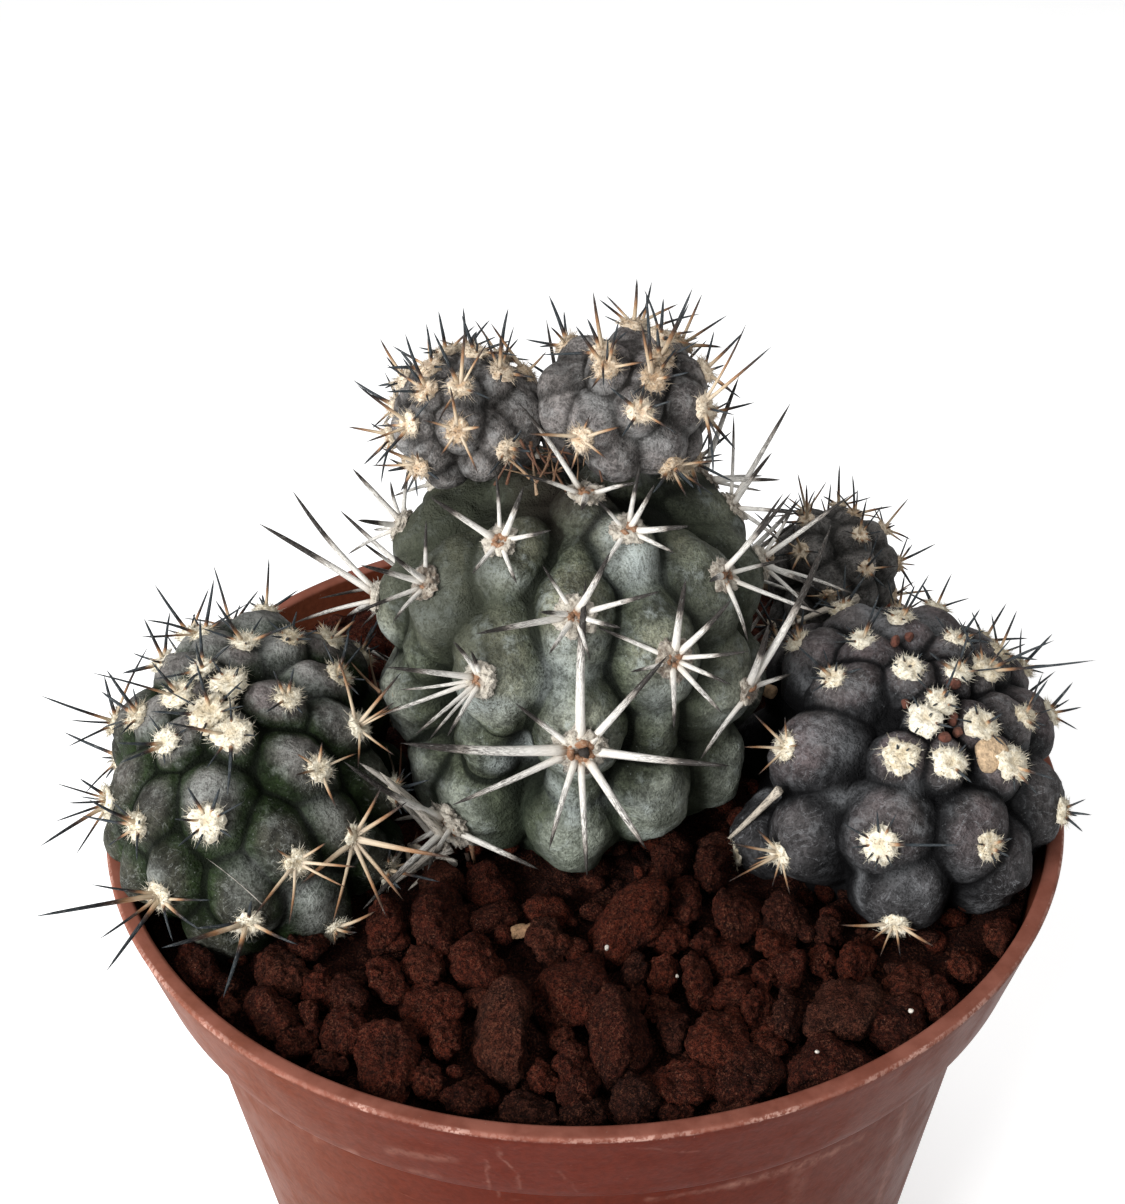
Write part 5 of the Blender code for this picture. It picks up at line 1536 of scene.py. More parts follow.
def build_bed(look):
    """Packed grit under the stones, a closed body down to the pot's floor."""
    sectors = BED_SECTORS
    edge = wall_inner_radius(SOIL_Z) - SOIL_GAP
    turns = 2.0 * math.pi * np.arange(sectors) / sectors
    around = np.stack((np.cos(turns), np.sin(turns), np.zeros(sectors)), axis=1)
    rings = [(edge * number / BED_RINGS, None) for number in range(1, BED_RINGS + 1)]
    rings += [(NARROWEST_INSIDE - SOIL_GAP, STEP_Z + 0.6),
              (BODY_TOP_RADIUS - WALL - SOIL_GAP, STEP_Z - 1.9),
              (BODY_FOOT_RADIUS - WALL - SOIL_GAP, FLOOR + SOIL_GAP)]
    points = [np.array(((0.0, 0.0, SOIL_Z),))]
    for radius, height in rings:
        ring = around * radius
        if height is None:
            ring[:, 2] = (SOIL_Z + 0.7 * ripples(ring, 3.2, BED_SEEDS[0])
                          + 0.35 * ripples(ring, 1.4, BED_SEEDS[1]))
        else:
            ring[:, 2] = height
        points.append(ring)
    points.append(np.array(((0.0, 0.0, FLOOR + SOIL_GAP),)))
    points = np.concatenate(points)
    faces = []
    for side in range(sectors):
        after = (side + 1) % sectors
        faces.append((0, 1 + side, 1 + after))
        for number in range(len(rings) - 1):
            inner = 1 + number * sectors
            outer = inner + sectors
            faces += two_triangles(inner + side, outer + side, outer + after, inner + after)
        outer = 1 + (len(rings) - 1) * sectors
        faces.append((outer + side, len(points) - 1, outer + after))
    heap = Heap()
    # The bed between the stones carries the strongest painted shade
    heap.add(points, faces, tone=0.3, hollow=0.45)
    heap.build("grit_bed", look, ("soil",))


# Pot

POT_FINE_SIDES = 240
RIM_ROUND = 0.4


def straight(first, last, parts):
    """Points of the pot's section between two of its corners, without the corners."""
    shares = [number / parts for number in range(1, parts)]
    return [(first[0] + (last[0] - first[0]) * share, first[1] + (last[1] - first[1]) * share)
            for share in shares]


def pot_outline():
    """The pot's section from its underside, up the outside and down the inside to its floor."""
    inner_rim = RIM_RADIUS - RIM_WIDTH
    outline = [(12.0, 0.0), (24.0, 0.0), (BODY_FOOT_RADIUS - 0.8, 0.0),
               (BODY_FOOT_RADIUS - 0.2, 0.25), (BODY_FOOT_RADIUS, 0.8)]
    outline += straight((BODY_FOOT_RADIUS, 0.0), (BODY_TOP_RADIUS, STEP_Z - STEP_BELOW), 25)
    # A soft S from the body to the collar
    for number in range(9):
        share = number / 8.0
        ease = share * share * (3.0 - 2.0 * share)
        outline.append((BODY_TOP_RADIUS + (COLLAR_FOOT_RADIUS - BODY_TOP_RADIUS) * ease,
                        STEP_Z - STEP_BELOW + (STEP_BELOW + STEP_ABOVE) * share))
    outline += straight((COLLAR_FOOT_RADIUS, STEP_Z + STEP_ABOVE), (RIM_RADIUS - 0.08, RIM_Z - 0.6), 9)
    # The rim: a rounded outer edge, a nearly flat top and a rounded inner edge
    for middle, first, last in (((RIM_RADIUS - RIM_ROUND, RIM_Z - RIM_ROUND), -15.0, 90.0),
                                ((inner_rim + RIM_ROUND, RIM_Z - RIM_ROUND), 90.0, 180.0)):
        for number in range(6):
            turn = math.radians(first + (last - first) * number / 5.0)
            outline.append((middle[0] + RIM_ROUND * math.cos(turn), middle[1] + RIM_ROUND * math.sin(turn)))
    outline += straight((inner_rim, RIM_Z - 0.9), (NARROWEST_INSIDE, STEP_Z), 8)
    outline += [(NARROWEST_INSIDE, STEP_Z), (BODY_TOP_RADIUS - WALL, STEP_Z - 1.8),
                (BODY_FOOT_RADIUS - WALL, FLOOR), (24.0, FLOOR), (12.0, FLOOR)]
    return outline


def build_pot(look):
    """A fine pot with a rounded rim and six drain holes, a little out of true as thin plastic is."""
    outline = np.array(pot_outline())
    turns = 2.0 * math.pi * np.arange(POT_FINE_SIDES) / POT_FINE_SIDES
    warp = 1.0 + 0.0012 * np.sin(2.0 * turns + 0.6) + 0.0006 * np.sin(5.0 * turns)
    radius = outline[:, 0][:, None] * warp[None, :]
    height = np.repeat(outline[:, 1][:, None], POT_FINE_SIDES, axis=1)
    points = np.stack((radius * np.cos(turns), radius * np.sin(turns), height), axis=2).reshape(-1, 3)
    points = np.concatenate((points, ((0.0, 0.0, 0.0), (0.0, 0.0, FLOOR))))
    under, over = len(points) - 2, len(points) - 1
    last = (len(outline) - 1) * POT_FINE_SIDES
    faces = []
    for side in range(POT_FINE_SIDES):
        after = (side + 1) % POT_FINE_SIDES
        for ring in range(len(outline) - 1):
            low, high = ring * POT_FINE_SIDES, (ring + 1) * POT_FINE_SIDES
            faces += two_triangles(low + side, low + after, high + after, high + side)
        faces.append((under, after, side))
        faces.append((over, last + side, last + after))
    heap = Heap()
    heap.add(points, faces)
    drill_pot(heap.build("nursery_pot", look, ("pot",)))


def drill_pot(pot):
    """Cut the drain holes through the pot's floor."""
    bm = bmesh.new()
    for number in range(DRAIN_HOLES):
        turn = 2.0 * math.pi * (number + 0.5) / DRAIN_HOLES
        spot = Vector((math.cos(turn), math.sin(turn), 0.0)) * DRAIN_RING_RADIUS * MM
        bmesh.ops.create_cone(bm, cap_ends=True, segments=32, radius1=DRAIN_HOLE_RADIUS * MM,
                              radius2=DRAIN_HOLE_RADIUS * MM, depth=4.0 * FLOOR * MM,
                              matrix=Matrix.Translation(spot))
    mesh = bpy.data.meshes.new("drain_drills")
    bm.to_mesh(mesh)
    bm.free()
    drills = linked("drain_drills", mesh)
    cut = pot.modifiers.new("drain_holes", "BOOLEAN")
    cut.operation = "DIFFERENCE"
    cut.solver = "EXACT"
    cut.object = drills
    drilled = bpy.data.meshes.new_from_object(pot.evaluated_get(bpy.context.evaluated_depsgraph_get()))
    pot.modifiers.remove(cut)
    pot.data = drilled
    bpy.data.objects.remove(drills)


# Materials

class Look:
    """A material being wired, one short call for each node."""

    def __init__(self, name, roughness, specular=0.5):
        self.material = bpy.data.materials.new(name)
        self.material.use_nodes = True
        self.tree = self.material.node_tree
        self.shader = self.tree.nodes["Principled BSDF"]
        self.shader.inputs["Roughness"].default_value = roughness
        self.shader.inputs["Specular IOR Level"].default_value = specular
        self.place = self.tree.nodes.new("ShaderNodeTexCoord").outputs["Object"]

    def node(self, kind, inputs, output=0, **settings):
        """One output of a new node, its inputs given by number or name as sockets or constants."""
        made = self.tree.nodes.new(kind)
        for name, value in settings.items():
            setattr(made, name, value)
        for key, value in inputs.items():
            if isinstance(value, bpy.types.NodeSocket):
                self.tree.links.new(value, made.inputs[key])
            else:
                made.inputs[key].default_value = value
        return made.outputs[output]

    def noise(self, size, detail=3.0, roughness=0.55, distortion=0.0, vector=None):
        """Noise with blotches of about this size in millimetres."""
        return self.node("ShaderNodeTexNoise", {
            "Vector": vector or self.place, "Scale": 1.0 / (size * MM), "Detail": detail,
            "Roughness": roughness, "Distortion": distortion})

    def streaks(self, grain, scale, detail, roughness=0.5):
        """Noise along the grain of a spine."""
        return self.node("ShaderNodeTexNoise", {
            "Vector": grain, "Scale": scale, "Detail": detail, "Roughness": roughness})

    def cells(self, size):
        """Distance from the middles of cells of about this size in millimetres."""
        return self.node("ShaderNodeTexVoronoi", {"Vector": self.place, "Scale": 1.0 / (size * MM)})

    def value(self, name):
        """A value that the mesh carries for each point."""
        return self.node("ShaderNodeAttribute", {}, output=2, attribute_name=name)

    def vector(self, name):
        """A vector that the mesh carries for each point."""
        return self.node("ShaderNodeAttribute", {}, output=1, attribute_name=name)

    def spread(self, value, low, high, to_low=0.0, to_high=1.0):
        """The value stretched from one range to another, and held inside it."""
        return self.node("ShaderNodeMapRange", {
            0: value, 1: low, 2: high, 3: to_low, 4: to_high}, interpolation_type="SMOOTHSTEP")

    def between(self, axis, low, high, to_low=0.0, to_high=1.0):
        """A blend along one coordinate, between two places in millimetres."""
        return self.spread(self.axis(axis), low * MM, high * MM, to_low, to_high)

    def math(self, operation, first, second=0.0):
        return self.node("ShaderNodeMath", {0: first, 1: second}, operation=operation)

    def vector_math(self, operation, first, second, output=0):
        return self.node("ShaderNodeVectorMath", {0: first, 1: second}, output, operation=operation)

    def times(self, first, second):
        return self.math("MULTIPLY", first, second)

    def plus(self, first, second):
        return self.math("ADD", first, second)

    def larger(self, first, second):
        return self.math("MAXIMUM", first, second)

    def scaled(self, vector, share):
        """A colour or a vector times a value."""
        return self.node("ShaderNodeVectorMath", {0: vector, 3: share}, operation="SCALE")

    def mix(self, share, first, second):
        """From the first colour to the second by a share."""
        first = first if isinstance(first, bpy.types.NodeSocket) else (*first, 1.0)
        second = second if isinstance(second, bpy.types.NodeSocket) else (*second, 1.0)
        return self.node("ShaderNodeMix", {0: share, 6: first, 7: second}, output=2, data_type="RGBA")

    def ramp(self, value, stops):
        """Colours along a value from 0 to 1."""
        made = self.tree.nodes.new("ShaderNodeValToRGB")
        self.tree.links.new(value, made.inputs[0])
        elements = made.color_ramp.elements
        while len(elements) < len(stops):
            elements.new(0.5)
        for element, (place, colour) in zip(elements, stops):
            element.position = place
            element.color = (*colour, 1.0)
        return made.outputs[0]

    def axis(self, number):
        """One coordinate in metres."""
        return self.node("ShaderNodeSeparateXYZ", {0: self.place}, output=number)

    def colour(self, socket):
        self.tree.links.new(socket, self.shader.inputs["Base Color"])

    def rough(self, socket):
        self.tree.links.new(socket, self.shader.inputs["Roughness"])

    def bump(self, layers):
        """Raise the surface by each height, given with its depth in millimetres."""
        normal = None
        for height, depth in layers:
            inputs = {"Height": height, "Distance": depth * MM, "Strength": 1.0}
            if normal is not None:
                inputs["Normal"] = normal
            normal = self.node("ShaderNodeBump", inputs)
        self.tree.links.new(normal, self.shader.inputs["Normal"])


# Skin colours of each head: flesh at the top, its second tone, flesh lower down, flanks, which are
# partly their own greener tone and partly painted shade, bloom and the painted shade of the creases
SKIN_COLOURS = {
    "main_stem": ((0.122, 0.130, 0.098), (0.130, 0.130, 0.092), (0.238, 0.256, 0.216),
                  (0.056, 0.064, 0.043), (0.385, 0.425, 0.412), (0.0040, 0.0054, 0.0036)),
    "head_left": ((0.142, 0.136, 0.128), (0.116, 0.101, 0.098), (0.032, 0.032, 0.024),
                  (0.0130, 0.0220, 0.0075), (0.310, 0.325, 0.305), (0.0025, 0.0038, 0.0018)),
    "head_right": ((0.082, 0.074, 0.073), (0.086, 0.070, 0.071), (0.031, 0.030, 0.031),
                   (0.0170, 0.0170, 0.0180), (0.250, 0.256, 0.266), (0.0030, 0.0030, 0.0034)),
    "head_top_left": ((0.182, 0.168, 0.160), (0.122, 0.112, 0.108), (0.115, 0.108, 0.103),
                      (0.080, 0.074, 0.070), (0.340, 0.340, 0.335), (0.010, 0.009, 0.008)),
    "head_top_right": ((0.172, 0.157, 0.150), (0.116, 0.104, 0.102), (0.110, 0.102, 0.098),
                       (0.076, 0.070, 0.067), (0.330, 0.330, 0.325), (0.010, 0.009, 0.008)),
    "head_back_right": ((0.145, 0.136, 0.128), (0.112, 0.104, 0.098), (0.086, 0.082, 0.077),
                        (0.056, 0.053, 0.050), (0.260, 0.260, 0.254), (0.008, 0.008, 0.007)),
}
# How the tones of each skin are spread: how much of the bloom shows, the heights over the grit
# where the lower flesh ends, the depths below the tubercles' tips where the flanks, with their
# painted shade, and then the painted shade of the creases begin and are full, what is left of the
# bloom under the areoles higher up, how plainly pale scratches show on the domes, how plainly dust
# lies on the upper and on the lower domes, the weakest and strongest mottle, and a factor for how
# wide the painted shade between two tubercles is; lengths are in millimetres
SKIN_SPREAD = {
    "main_stem": (0.80, (10.0, 32.0), (0.5, 2.5), (2.2, 4.6), 1.0, 0.30, (0.66, 0.80), (0.56, 1.48), 1.5),
    "head_left": (0.75, (12.0, 21.5), (0.3, 1.5), (1.8, 3.8), 0.08, 0.45, (0.64, 0.12), (0.60, 1.40),
                  0.85),
    "head_right": (0.60, (5.0, 16.0), (0.5, 1.9), (1.8, 3.8), 0.10, 0.75, (0.60, 0.15), (0.60, 1.40),
                   0.9),
    "head_top_left": (0.85, (34.0, 46.0), (0.3, 1.3), (1.3, 2.6), 1.0, 0.50, (0.70, 0.70), (0.50, 1.50),
                      0.75),
    "head_top_right": (0.85, (34.0, 46.0), (0.3, 1.4), (1.3, 2.8), 1.0, 0.50, (0.70, 0.70), (0.50, 1.50),
                       0.75),
    "head_back_right": (0.60, (8.0, 20.0), (0.3, 1.3), (1.2, 2.6), 1.0, 0.40, (0.60, 0.60), (0.50, 1.50),
                        0.75),
}
# Height over the grit up to which the bloom under the areoles is full, millimetres
BLOOM_HEIGHT = 6.0
# Colours of the main stem: painted shade round the hollow between the small top heads and on its
# side under them, its foot, and painted shade on the side turned from the window
HOLLOW_SHADE = (0.018, 0.014, 0.011)
SHADED_SIDE = (0.034, 0.037, 0.026)
STEM_FOOT = (0.062, 0.078, 0.052)
FAR_SIDE_SHADE = (0.040, 0.044, 0.034)
# How plain the painted shade between two tubercles is on the young offsets, beside the other heads'
YOUNG_SEAM_SHADE = 0.70


def flesh_look(head):
    """Dull waxy skin: mottled, dusted with bloom, with painted shade down the flanks, in the creases and
    between the tubercles, and fine corky specks.
    """
    flesh, second, lower, flank_tint_and_shade, bloom, crease = SKIN_COLOURS[head.name]
    (bloom_share, heights, flank_depths, crease_depths, high_bloom, scratches, dust_shares,
     mottles, seam_shade_width) = SKIN_SPREAD[head.name]
    look = Look(head.name + "_skin", 0.6, 0.06)
    areole = look.value("areole")
    tone = look.value("tone")
    groove = look.value("groove")
    below = look.value("below")
    seam = look.value("seam")
    broad = look.noise(6.5, 2.0)
    blotch = look.noise(3.4, 3.0, 0.55)
    patch = look.noise(2.1, 4.0, 0.62)
    fine = look.noise(0.8, 4.0, 0.72)
    grain = look.noise(0.25, 3.0, 0.65)
    specks = look.cells(0.55)
    colour = look.mix(look.spread(look.plus(broad, look.times(tone, 0.35)), 0.5, 0.85), flesh, second)
    level = look.plus(look.axis(2), look.times(look.plus(patch, -0.5), 0.008))
    low = look.spread(level, (SOIL_Z + heights[0]) * MM, (SOIL_Z + heights[1]) * MM, 1.0, 0.0)
    colour = look.mix(low, colour, lower)
    # Down into the grooves the flanks' colour takes over: partly their own greener tone, partly painted
    # shade
    sunk = look.plus(groove, look.times(look.plus(patch, -0.5), 1.6))
    colour = look.mix(look.spread(sunk, *flank_depths), colour, flank_tint_and_shade)
    mottle = look.spread(look.plus(look.times(fine, 0.55), look.times(grain, 0.45)), 0.38, 0.62, *mottles)
    mottle = look.times(mottle, look.spread(blotch, 0.34, 0.66, 0.62, 1.42))
    colour = look.scaled(colour, mottle)
    ridge = look.spread(groove, flank_depths[0], flank_depths[1] + 1.0, 1.0, 0.0)
    dusty = look.times(look.spread(patch, 0.49, 0.66), look.spread(fine, 0.36, 0.60, 0.1, 1.0))
    dusty = look.times(dusty, look.spread(low, 0.0, 1.0, *dust_shares))
    under = look.times(look.spread(below, 0.8, 2.6), look.spread(areole, 2.4, 6.5, 1.0, 0.0))
    bare = look.times(under, look.spread(look.plus(broad, look.times(tone, 0.3)), 0.48, 0.80, 0.0, 1.0))
    bare = look.times(bare, look.spread(look.plus(fine, grain), 0.80, 1.15, 0.25, 1.0))
    bare = look.times(bare, look.between(2, SOIL_Z + BLOOM_HEIGHT, SOIL_Z + BLOOM_HEIGHT + 4.0,
                                         1.0, high_bloom))
    # Scratches lie where a twisted noise crosses its middle
    twisted = look.noise(2.6, 4.0, 0.6, 1.6)
    hair = look.spread(look.math("ABSOLUTE", look.plus(twisted, -0.5)), 0.0, 0.022, 1.0, 0.0)
    hair = look.times(look.times(hair, ridge), look.spread(fine, 0.40, 0.56, 0.1, scratches))
    dust = look.larger(look.times(dusty, ridge), look.larger(bare, hair))
    colour = look.mix(look.times(dust, bloom_share), colour, bloom)
    pale = look.times(look.spread(specks, 0.05, 0.17, 1.0, 0.0), look.spread(patch, 0.42, 0.6, 0.0, 0.5))
    colour = look.mix(pale, colour, bloom)
    # Painted shade in the creases and, along the seams, between the tubercles
    crease_shade = look.larger(look.spread(groove, *crease_depths, 0.0, 0.92),
                       look.spread(look.value("crease"), 0.10, 0.60, 0.0, 0.92))
    plain = YOUNG_SEAM_SHADE if head.name in SMALL_HEADS else 1.0
    for near, far, darkness in ((0.1, 1.4, 0.95), (0.5, 3.0, 0.45)):
        line = look.spread(seam, near * seam_shade_width, far * seam_shade_width, darkness * plain, 0.0)
        crease_shade = look.larger(crease_shade, line)
    colour = look.mix(crease_shade, colour, crease)
    smear = look.times(look.value("smear"), look.spread(look.plus(fine, grain), 0.78, 1.12, 0.35, 1.0))
    colour = look.mix(smear, colour, bloom)
    if head.name == "main_stem":
        # Painted shade round the hollow between the small top heads
        away = look.vector_math("DISTANCE", look.place, CAVITY * MM, 1)
        hollow_shade = look.spread(look.plus(away, look.times(patch, 3.0 * MM)), 4.5 * MM, 12.0 * MM, 0.90, 0.0)
        colour = look.mix(hollow_shade, colour, HOLLOW_SHADE)
        # Painted shade on the side under the small top heads
        shaded = look.times(look.between(0, -13.0, -1.0, 0.76, 0.0), look.between(2, 101.0, 110.0))
        colour = look.mix(shaded, colour, SHADED_SIDE)
        foot = look.spread(level, (SOIL_Z + 3.0) * MM, (SOIL_Z + 13.0) * MM, 0.55, 0.0)
        colour = look.mix(foot, colour, STEM_FOOT)
        # Painted shade on the side turned from the window
        far_side_shade = look.times(look.between(0, 4.0, 13.0, 0.0, 0.42), look.between(2, 86.0, 94.0))
        colour = look.mix(far_side_shade, colour, FAR_SIDE_SHADE)
    look.colour(colour)
    look.rough(look.spread(fine, 0.3, 0.7, 0.48, 0.70))
    look.bump(((patch, 0.34), (fine, 0.34), (grain, 0.20)))
    return look


# Colours along a spine of the main stem and along one of the offsets, from root to point
SPINE_PALE = ((0.0, (0.23, 0.112, 0.058)), (0.030, (0.38, 0.27, 0.185)), (0.07, (0.60, 0.56, 0.50)),
              (0.28, (0.66, 0.64, 0.60)), (0.60, (0.58, 0.56, 0.52)), (0.73, (0.30, 0.27, 0.24)),
              (0.81, (0.026, 0.023, 0.021)), (1.0, (0.006, 0.006, 0.006)))
SPINE_DARK = ((0.0, (0.57, 0.49, 0.39)), (0.20, (0.52, 0.41, 0.28)), (0.38, (0.28, 0.145, 0.070)),
              (0.52, (0.055, 0.030, 0.020)), (0.72, (0.012, 0.013, 0.015)), (1.0, (0.024, 0.032, 0.038)))
SPINE_FLECK = (0.045, 0.038, 0.034)
# Pale streaks along the spines: partly chalky horn, partly painted sheen
SPINE_CHALK_AND_SHEEN = (0.66, 0.63, 0.58)


def spine_look(name, stops, shift, flecks):
    """Horn: a tan root, a paler or darker shaft with flecks and pale streaks along it, partly painted
    sheen, and a dark point.
    """
    look = Look(name, 0.5, 0.12)
    along = look.value("along")
    tone = look.value("tone")
    grain = look.vector("grain")
    streaks = look.streaks(grain, 5.0, 3.0, 0.65)
    broad = look.streaks(grain, 1.2, 2.0)
    darker = look.plus(look.times(look.math("POWER", tone, 2.0), shift[1]), shift[0])
    moved = look.times(along, darker)
    moved = look.plus(moved, look.times(look.plus(broad, -0.5), 0.10))
    colour = look.ramp(moved, stops)
    fleck = look.times(look.spread(streaks, 0.47, 0.55), look.spread(along, 0.10, 0.70, 0.12, 1.0))
    colour = look.mix(look.times(fleck, flecks), colour, SPINE_FLECK)
    # Pale streaks along the grain, partly chalky horn and partly painted sheen
    pale = look.times(look.spread(streaks, 0.30, 0.44, 1.0, 0.0), 0.30)
    colour = look.mix(pale, colour, SPINE_CHALK_AND_SHEEN)
    look.colour(colour)
    look.bump(((streaks, 0.05),))
    return look


# Wool of the main stem, of the two large offsets and of the young ones: its pale and its deep
# colour, and the colour in the middle of a cushion
WOOL_COLOURS = {
    "grey_felt": ((0.50, 0.46, 0.39), (0.13, 0.100, 0.075), (0.10, 0.055, 0.035)),
    "cream_wool": ((0.82, 0.77, 0.64), (0.47, 0.39, 0.26), (0.53, 0.43, 0.28)),
    "tan_wool": ((0.74, 0.64, 0.50), (0.38, 0.27, 0.17), (0.40, 0.25, 0.14)),
}


def wool_look(name):
    """Felted wool, paler at the ends of its tufts."""
    pale, deep, core = WOOL_COLOURS[name]
    look = Look(name, 0.9, 0.10)
    tone = look.value("tone")
    along = look.value("along")
    tuft = look.noise(0.5, 3.0, 0.65)
    share = look.spread(look.plus(look.times(tuft, 0.9), look.times(tone, 0.25)), 0.35, 0.78)
    colour = look.mix(share, deep, pale)
    colour = look.mix(look.spread(along, 0.2, 1.0, 0.0, 0.35), colour, pale)
    colour = look.mix(look.spread(along, -0.3, 0.15, 0.75, 0.0), colour, core)
    look.colour(colour)
    look.bump(((tuft, 0.22), (look.noise(0.18, 2.0), 0.08)))
    look.shader.inputs["Sheen Weight"].default_value = 0.20
    return look


# Dead horn by the spine's tone, and the black in its streaks
DEAD_HORN = ((0.0, (0.40, 0.37, 0.33)), (0.25, (0.52, 0.46, 0.38)), (0.5, (0.34, 0.22, 0.13)),
             (0.7, (0.16, 0.075, 0.045)), (1.0, (0.03, 0.025, 0.022)))
DEAD_STREAK = (0.045, 0.040, 0.036)


def dead_look():
    """Weathered horn: grey white, tan or dark by the spine, streaked with black."""
    look = Look("dead_horn", 0.7, 0.12)
    streaks = look.streaks(look.vector("grain"), 4.0, 4.0, 0.7)
    colour = look.ramp(look.value("tone"), DEAD_HORN)
    colour = look.mix(look.spread(streaks, 0.50, 0.60, 0.0, 0.75), colour, DEAD_STREAK)
    look.colour(colour)
    look.bump(((streaks, 0.08),))
    return look


# Crumbs by their tone: red lava, then tan husks, then white specks
CRUMB_COLOURS = ((0.0, (0.110, 0.036, 0.022)), (0.30, (0.140, 0.060, 0.035)),
                 (0.50, (0.34, 0.20, 0.105)), (0.65, (0.52, 0.38, 0.24)), (0.85, (0.42, 0.38, 0.33)),
                 (1.0, (0.56, 0.52, 0.46)))


def crumb_look():
    """Crumbs of lava, dry husks and white specks, told apart by their tone."""
    look = Look("crumbs", 0.9)
    fine = look.noise(0.5, 4.0, 0.7)
    colour = look.ramp(look.value("tone"), CRUMB_COLOURS)
    look.colour(look.scaled(colour, look.spread(fine, 0.3, 0.7, 0.6, 1.3)))
    look.bump(((fine, 0.35),))
    return look


# Lava by the stone's tone, and what lies on it: painted shade in its hollows, its pits, painted shade
# in the low places, the dust on the high ones and the pale grains
LAVA_COLOURS = ((0.0, (0.024, 0.0095, 0.0065)), (0.28, (0.038, 0.0085, 0.0046)),
                (0.55, (0.052, 0.0105, 0.0055)), (0.82, (0.076, 0.0150, 0.0072)),
                (1.0, (0.044, 0.0190, 0.0125)))
LAVA_HOLLOW_SHADE = (0.007, 0.003, 0.0025)
LAVA_PIT = (0.009, 0.004, 0.003)
LAVA_LOW_SHADE = (0.008, 0.0035, 0.0028)
LAVA_DUST = (0.140, 0.052, 0.030)
PALE_GRAIN = (0.36, 0.215, 0.155)


def grit_look():
    """Porous red-brown lava with pale grains, each stone a little different, with painted shade in its
    hollows, on the bed between the stones and between its nubs.
    """
    look = Look("lava_grit", 0.95, 0.10)
    tone = look.value("tone")
    hollow = look.value("hollow")
    broad = look.noise(3.0, 3.0)
    fine = look.noise(0.45, 4.0, 0.7)
    pits = look.cells(0.55)
    colour = look.ramp(look.plus(look.times(tone, 0.8), look.times(broad, 0.25)), LAVA_COLOURS)
    colour = look.scaled(colour, look.spread(fine, 0.36, 0.66, 0.42, 1.60))
    # Painted shade in the stones' hollows and on the bed between them
    colour = look.mix(look.spread(hollow, 0.0, 0.45, 0.0, 0.55), colour, LAVA_HOLLOW_SHADE)
    colour = look.mix(look.spread(pits, 0.02, 0.18, 0.35, 0.0), colour, LAVA_PIT)
    # Between the nubs is painted shade, and dust and broken glassy grains lie on the high places
    nubs = look.noise(0.24, 2.0, 0.6)
    colour = look.mix(look.spread(nubs, 0.34, 0.47, 0.70, 0.0), colour, LAVA_LOW_SHADE)
    dust = look.times(look.spread(nubs, 0.52, 0.62),
                      look.spread(look.noise(1.6, 2.0), 0.36, 0.62, 0.15, 0.65))
    colour = look.mix(dust, colour, LAVA_DUST)
    grains = look.times(look.spread(look.cells(0.40), 0.05, 0.14, 1.0, 0.0),
                        look.spread(look.noise(2.2, 2.0), 0.50, 0.66, 0.0, 0.85))
    colour = look.mix(grains, colour, PALE_GRAIN)
    look.colour(colour)
    look.bump(((fine, 0.90), (nubs, 0.70), (look.noise(0.16, 2.0), 0.20)))
    return look


# Lines seen on the pot: rubs and scratches, and painted highlights along the step under the collar
# and down the right side; pixels of both ends, half width in millimetres and how plainly it shows
SEEN_RUBS_AND_HIGHLIGHTS = (
    ((650, 1199), (735, 1184), 0.35, 0.38), ((735, 1184), (835, 1151), 0.70, 0.55),
    ((835, 1151), (862, 1138), 0.45, 0.35), ((905, 1110), (878, 1203), 0.85, 0.50),
    ((800, 1170), (795, 1203), 0.90, 0.25), ((275, 1107), (300, 1128), 0.60, 0.35),
    ((315, 1137), (355, 1153), 0.60, 0.50), ((393, 1150), (450, 1158), 0.65, 0.38),
    ((412, 1171), (432, 1175), 0.55, 0.30), ((497, 1148), (512, 1166), 0.20, 0.38),
    ((486, 1160), (489, 1182), 0.18, 0.30), ((489, 1182), (499, 1196), 0.18, 0.28),
    ((512, 1166), (518, 1190), 0.18, 0.26), ((560, 1170), (578, 1192), 0.16, 0.20),
    ((640, 1146), (700, 1150), 0.18, 0.22),
)


def pot_wall_radius(z):
    """Outside radius of the pot at a height, for rubs seen in the photo."""
    heights = (0.0, STEP_Z - STEP_BELOW, STEP_Z + STEP_ABOVE, RIM_Z)
    return np.interp(z, heights, (BODY_FOOT_RADIUS, BODY_TOP_RADIUS, COLLAR_FOOT_RADIUS, RIM_RADIUS))


def seen_on_pot(pixel):
    """Way round the pot and height, both in millimetres, of what a pixel shows on its outside."""
    points = sight_points(pixel, 90.0, 200.0, 4001)
    inside = off_axis(points) < pot_wall_radius(points[:, 2])
    spot = points[int(np.argmax(inside))]
    return math.atan2(spot[1], spot[0]) * RIM_RADIUS, spot[2]


# Plastic and its second tone, the painted sheen on the left and on the right, then scuffs, rubbed
# lines and painted highlights, the top of the rim, the painted highlight along its edge, chips near it and
# dust
PLASTIC = ((0.060, 0.0080, 0.0030), (0.071, 0.0105, 0.0048))
SHEEN_LEFT = (0.138, 0.0440, 0.0225)
SHEEN_RIGHT = (0.104, 0.0300, 0.0175)
SCUFFED = (0.26, 0.13, 0.095)
RUBS_AND_HIGHLIGHTS = (0.25, 0.125, 0.095)
RIM_TOP = (0.24, 0.090, 0.064)
RIM_EDGE_HIGHLIGHT = (0.55, 0.35, 0.29)
RIM_CHIP = (0.58, 0.43, 0.37)
POT_DUST = (0.36, 0.22, 0.18)


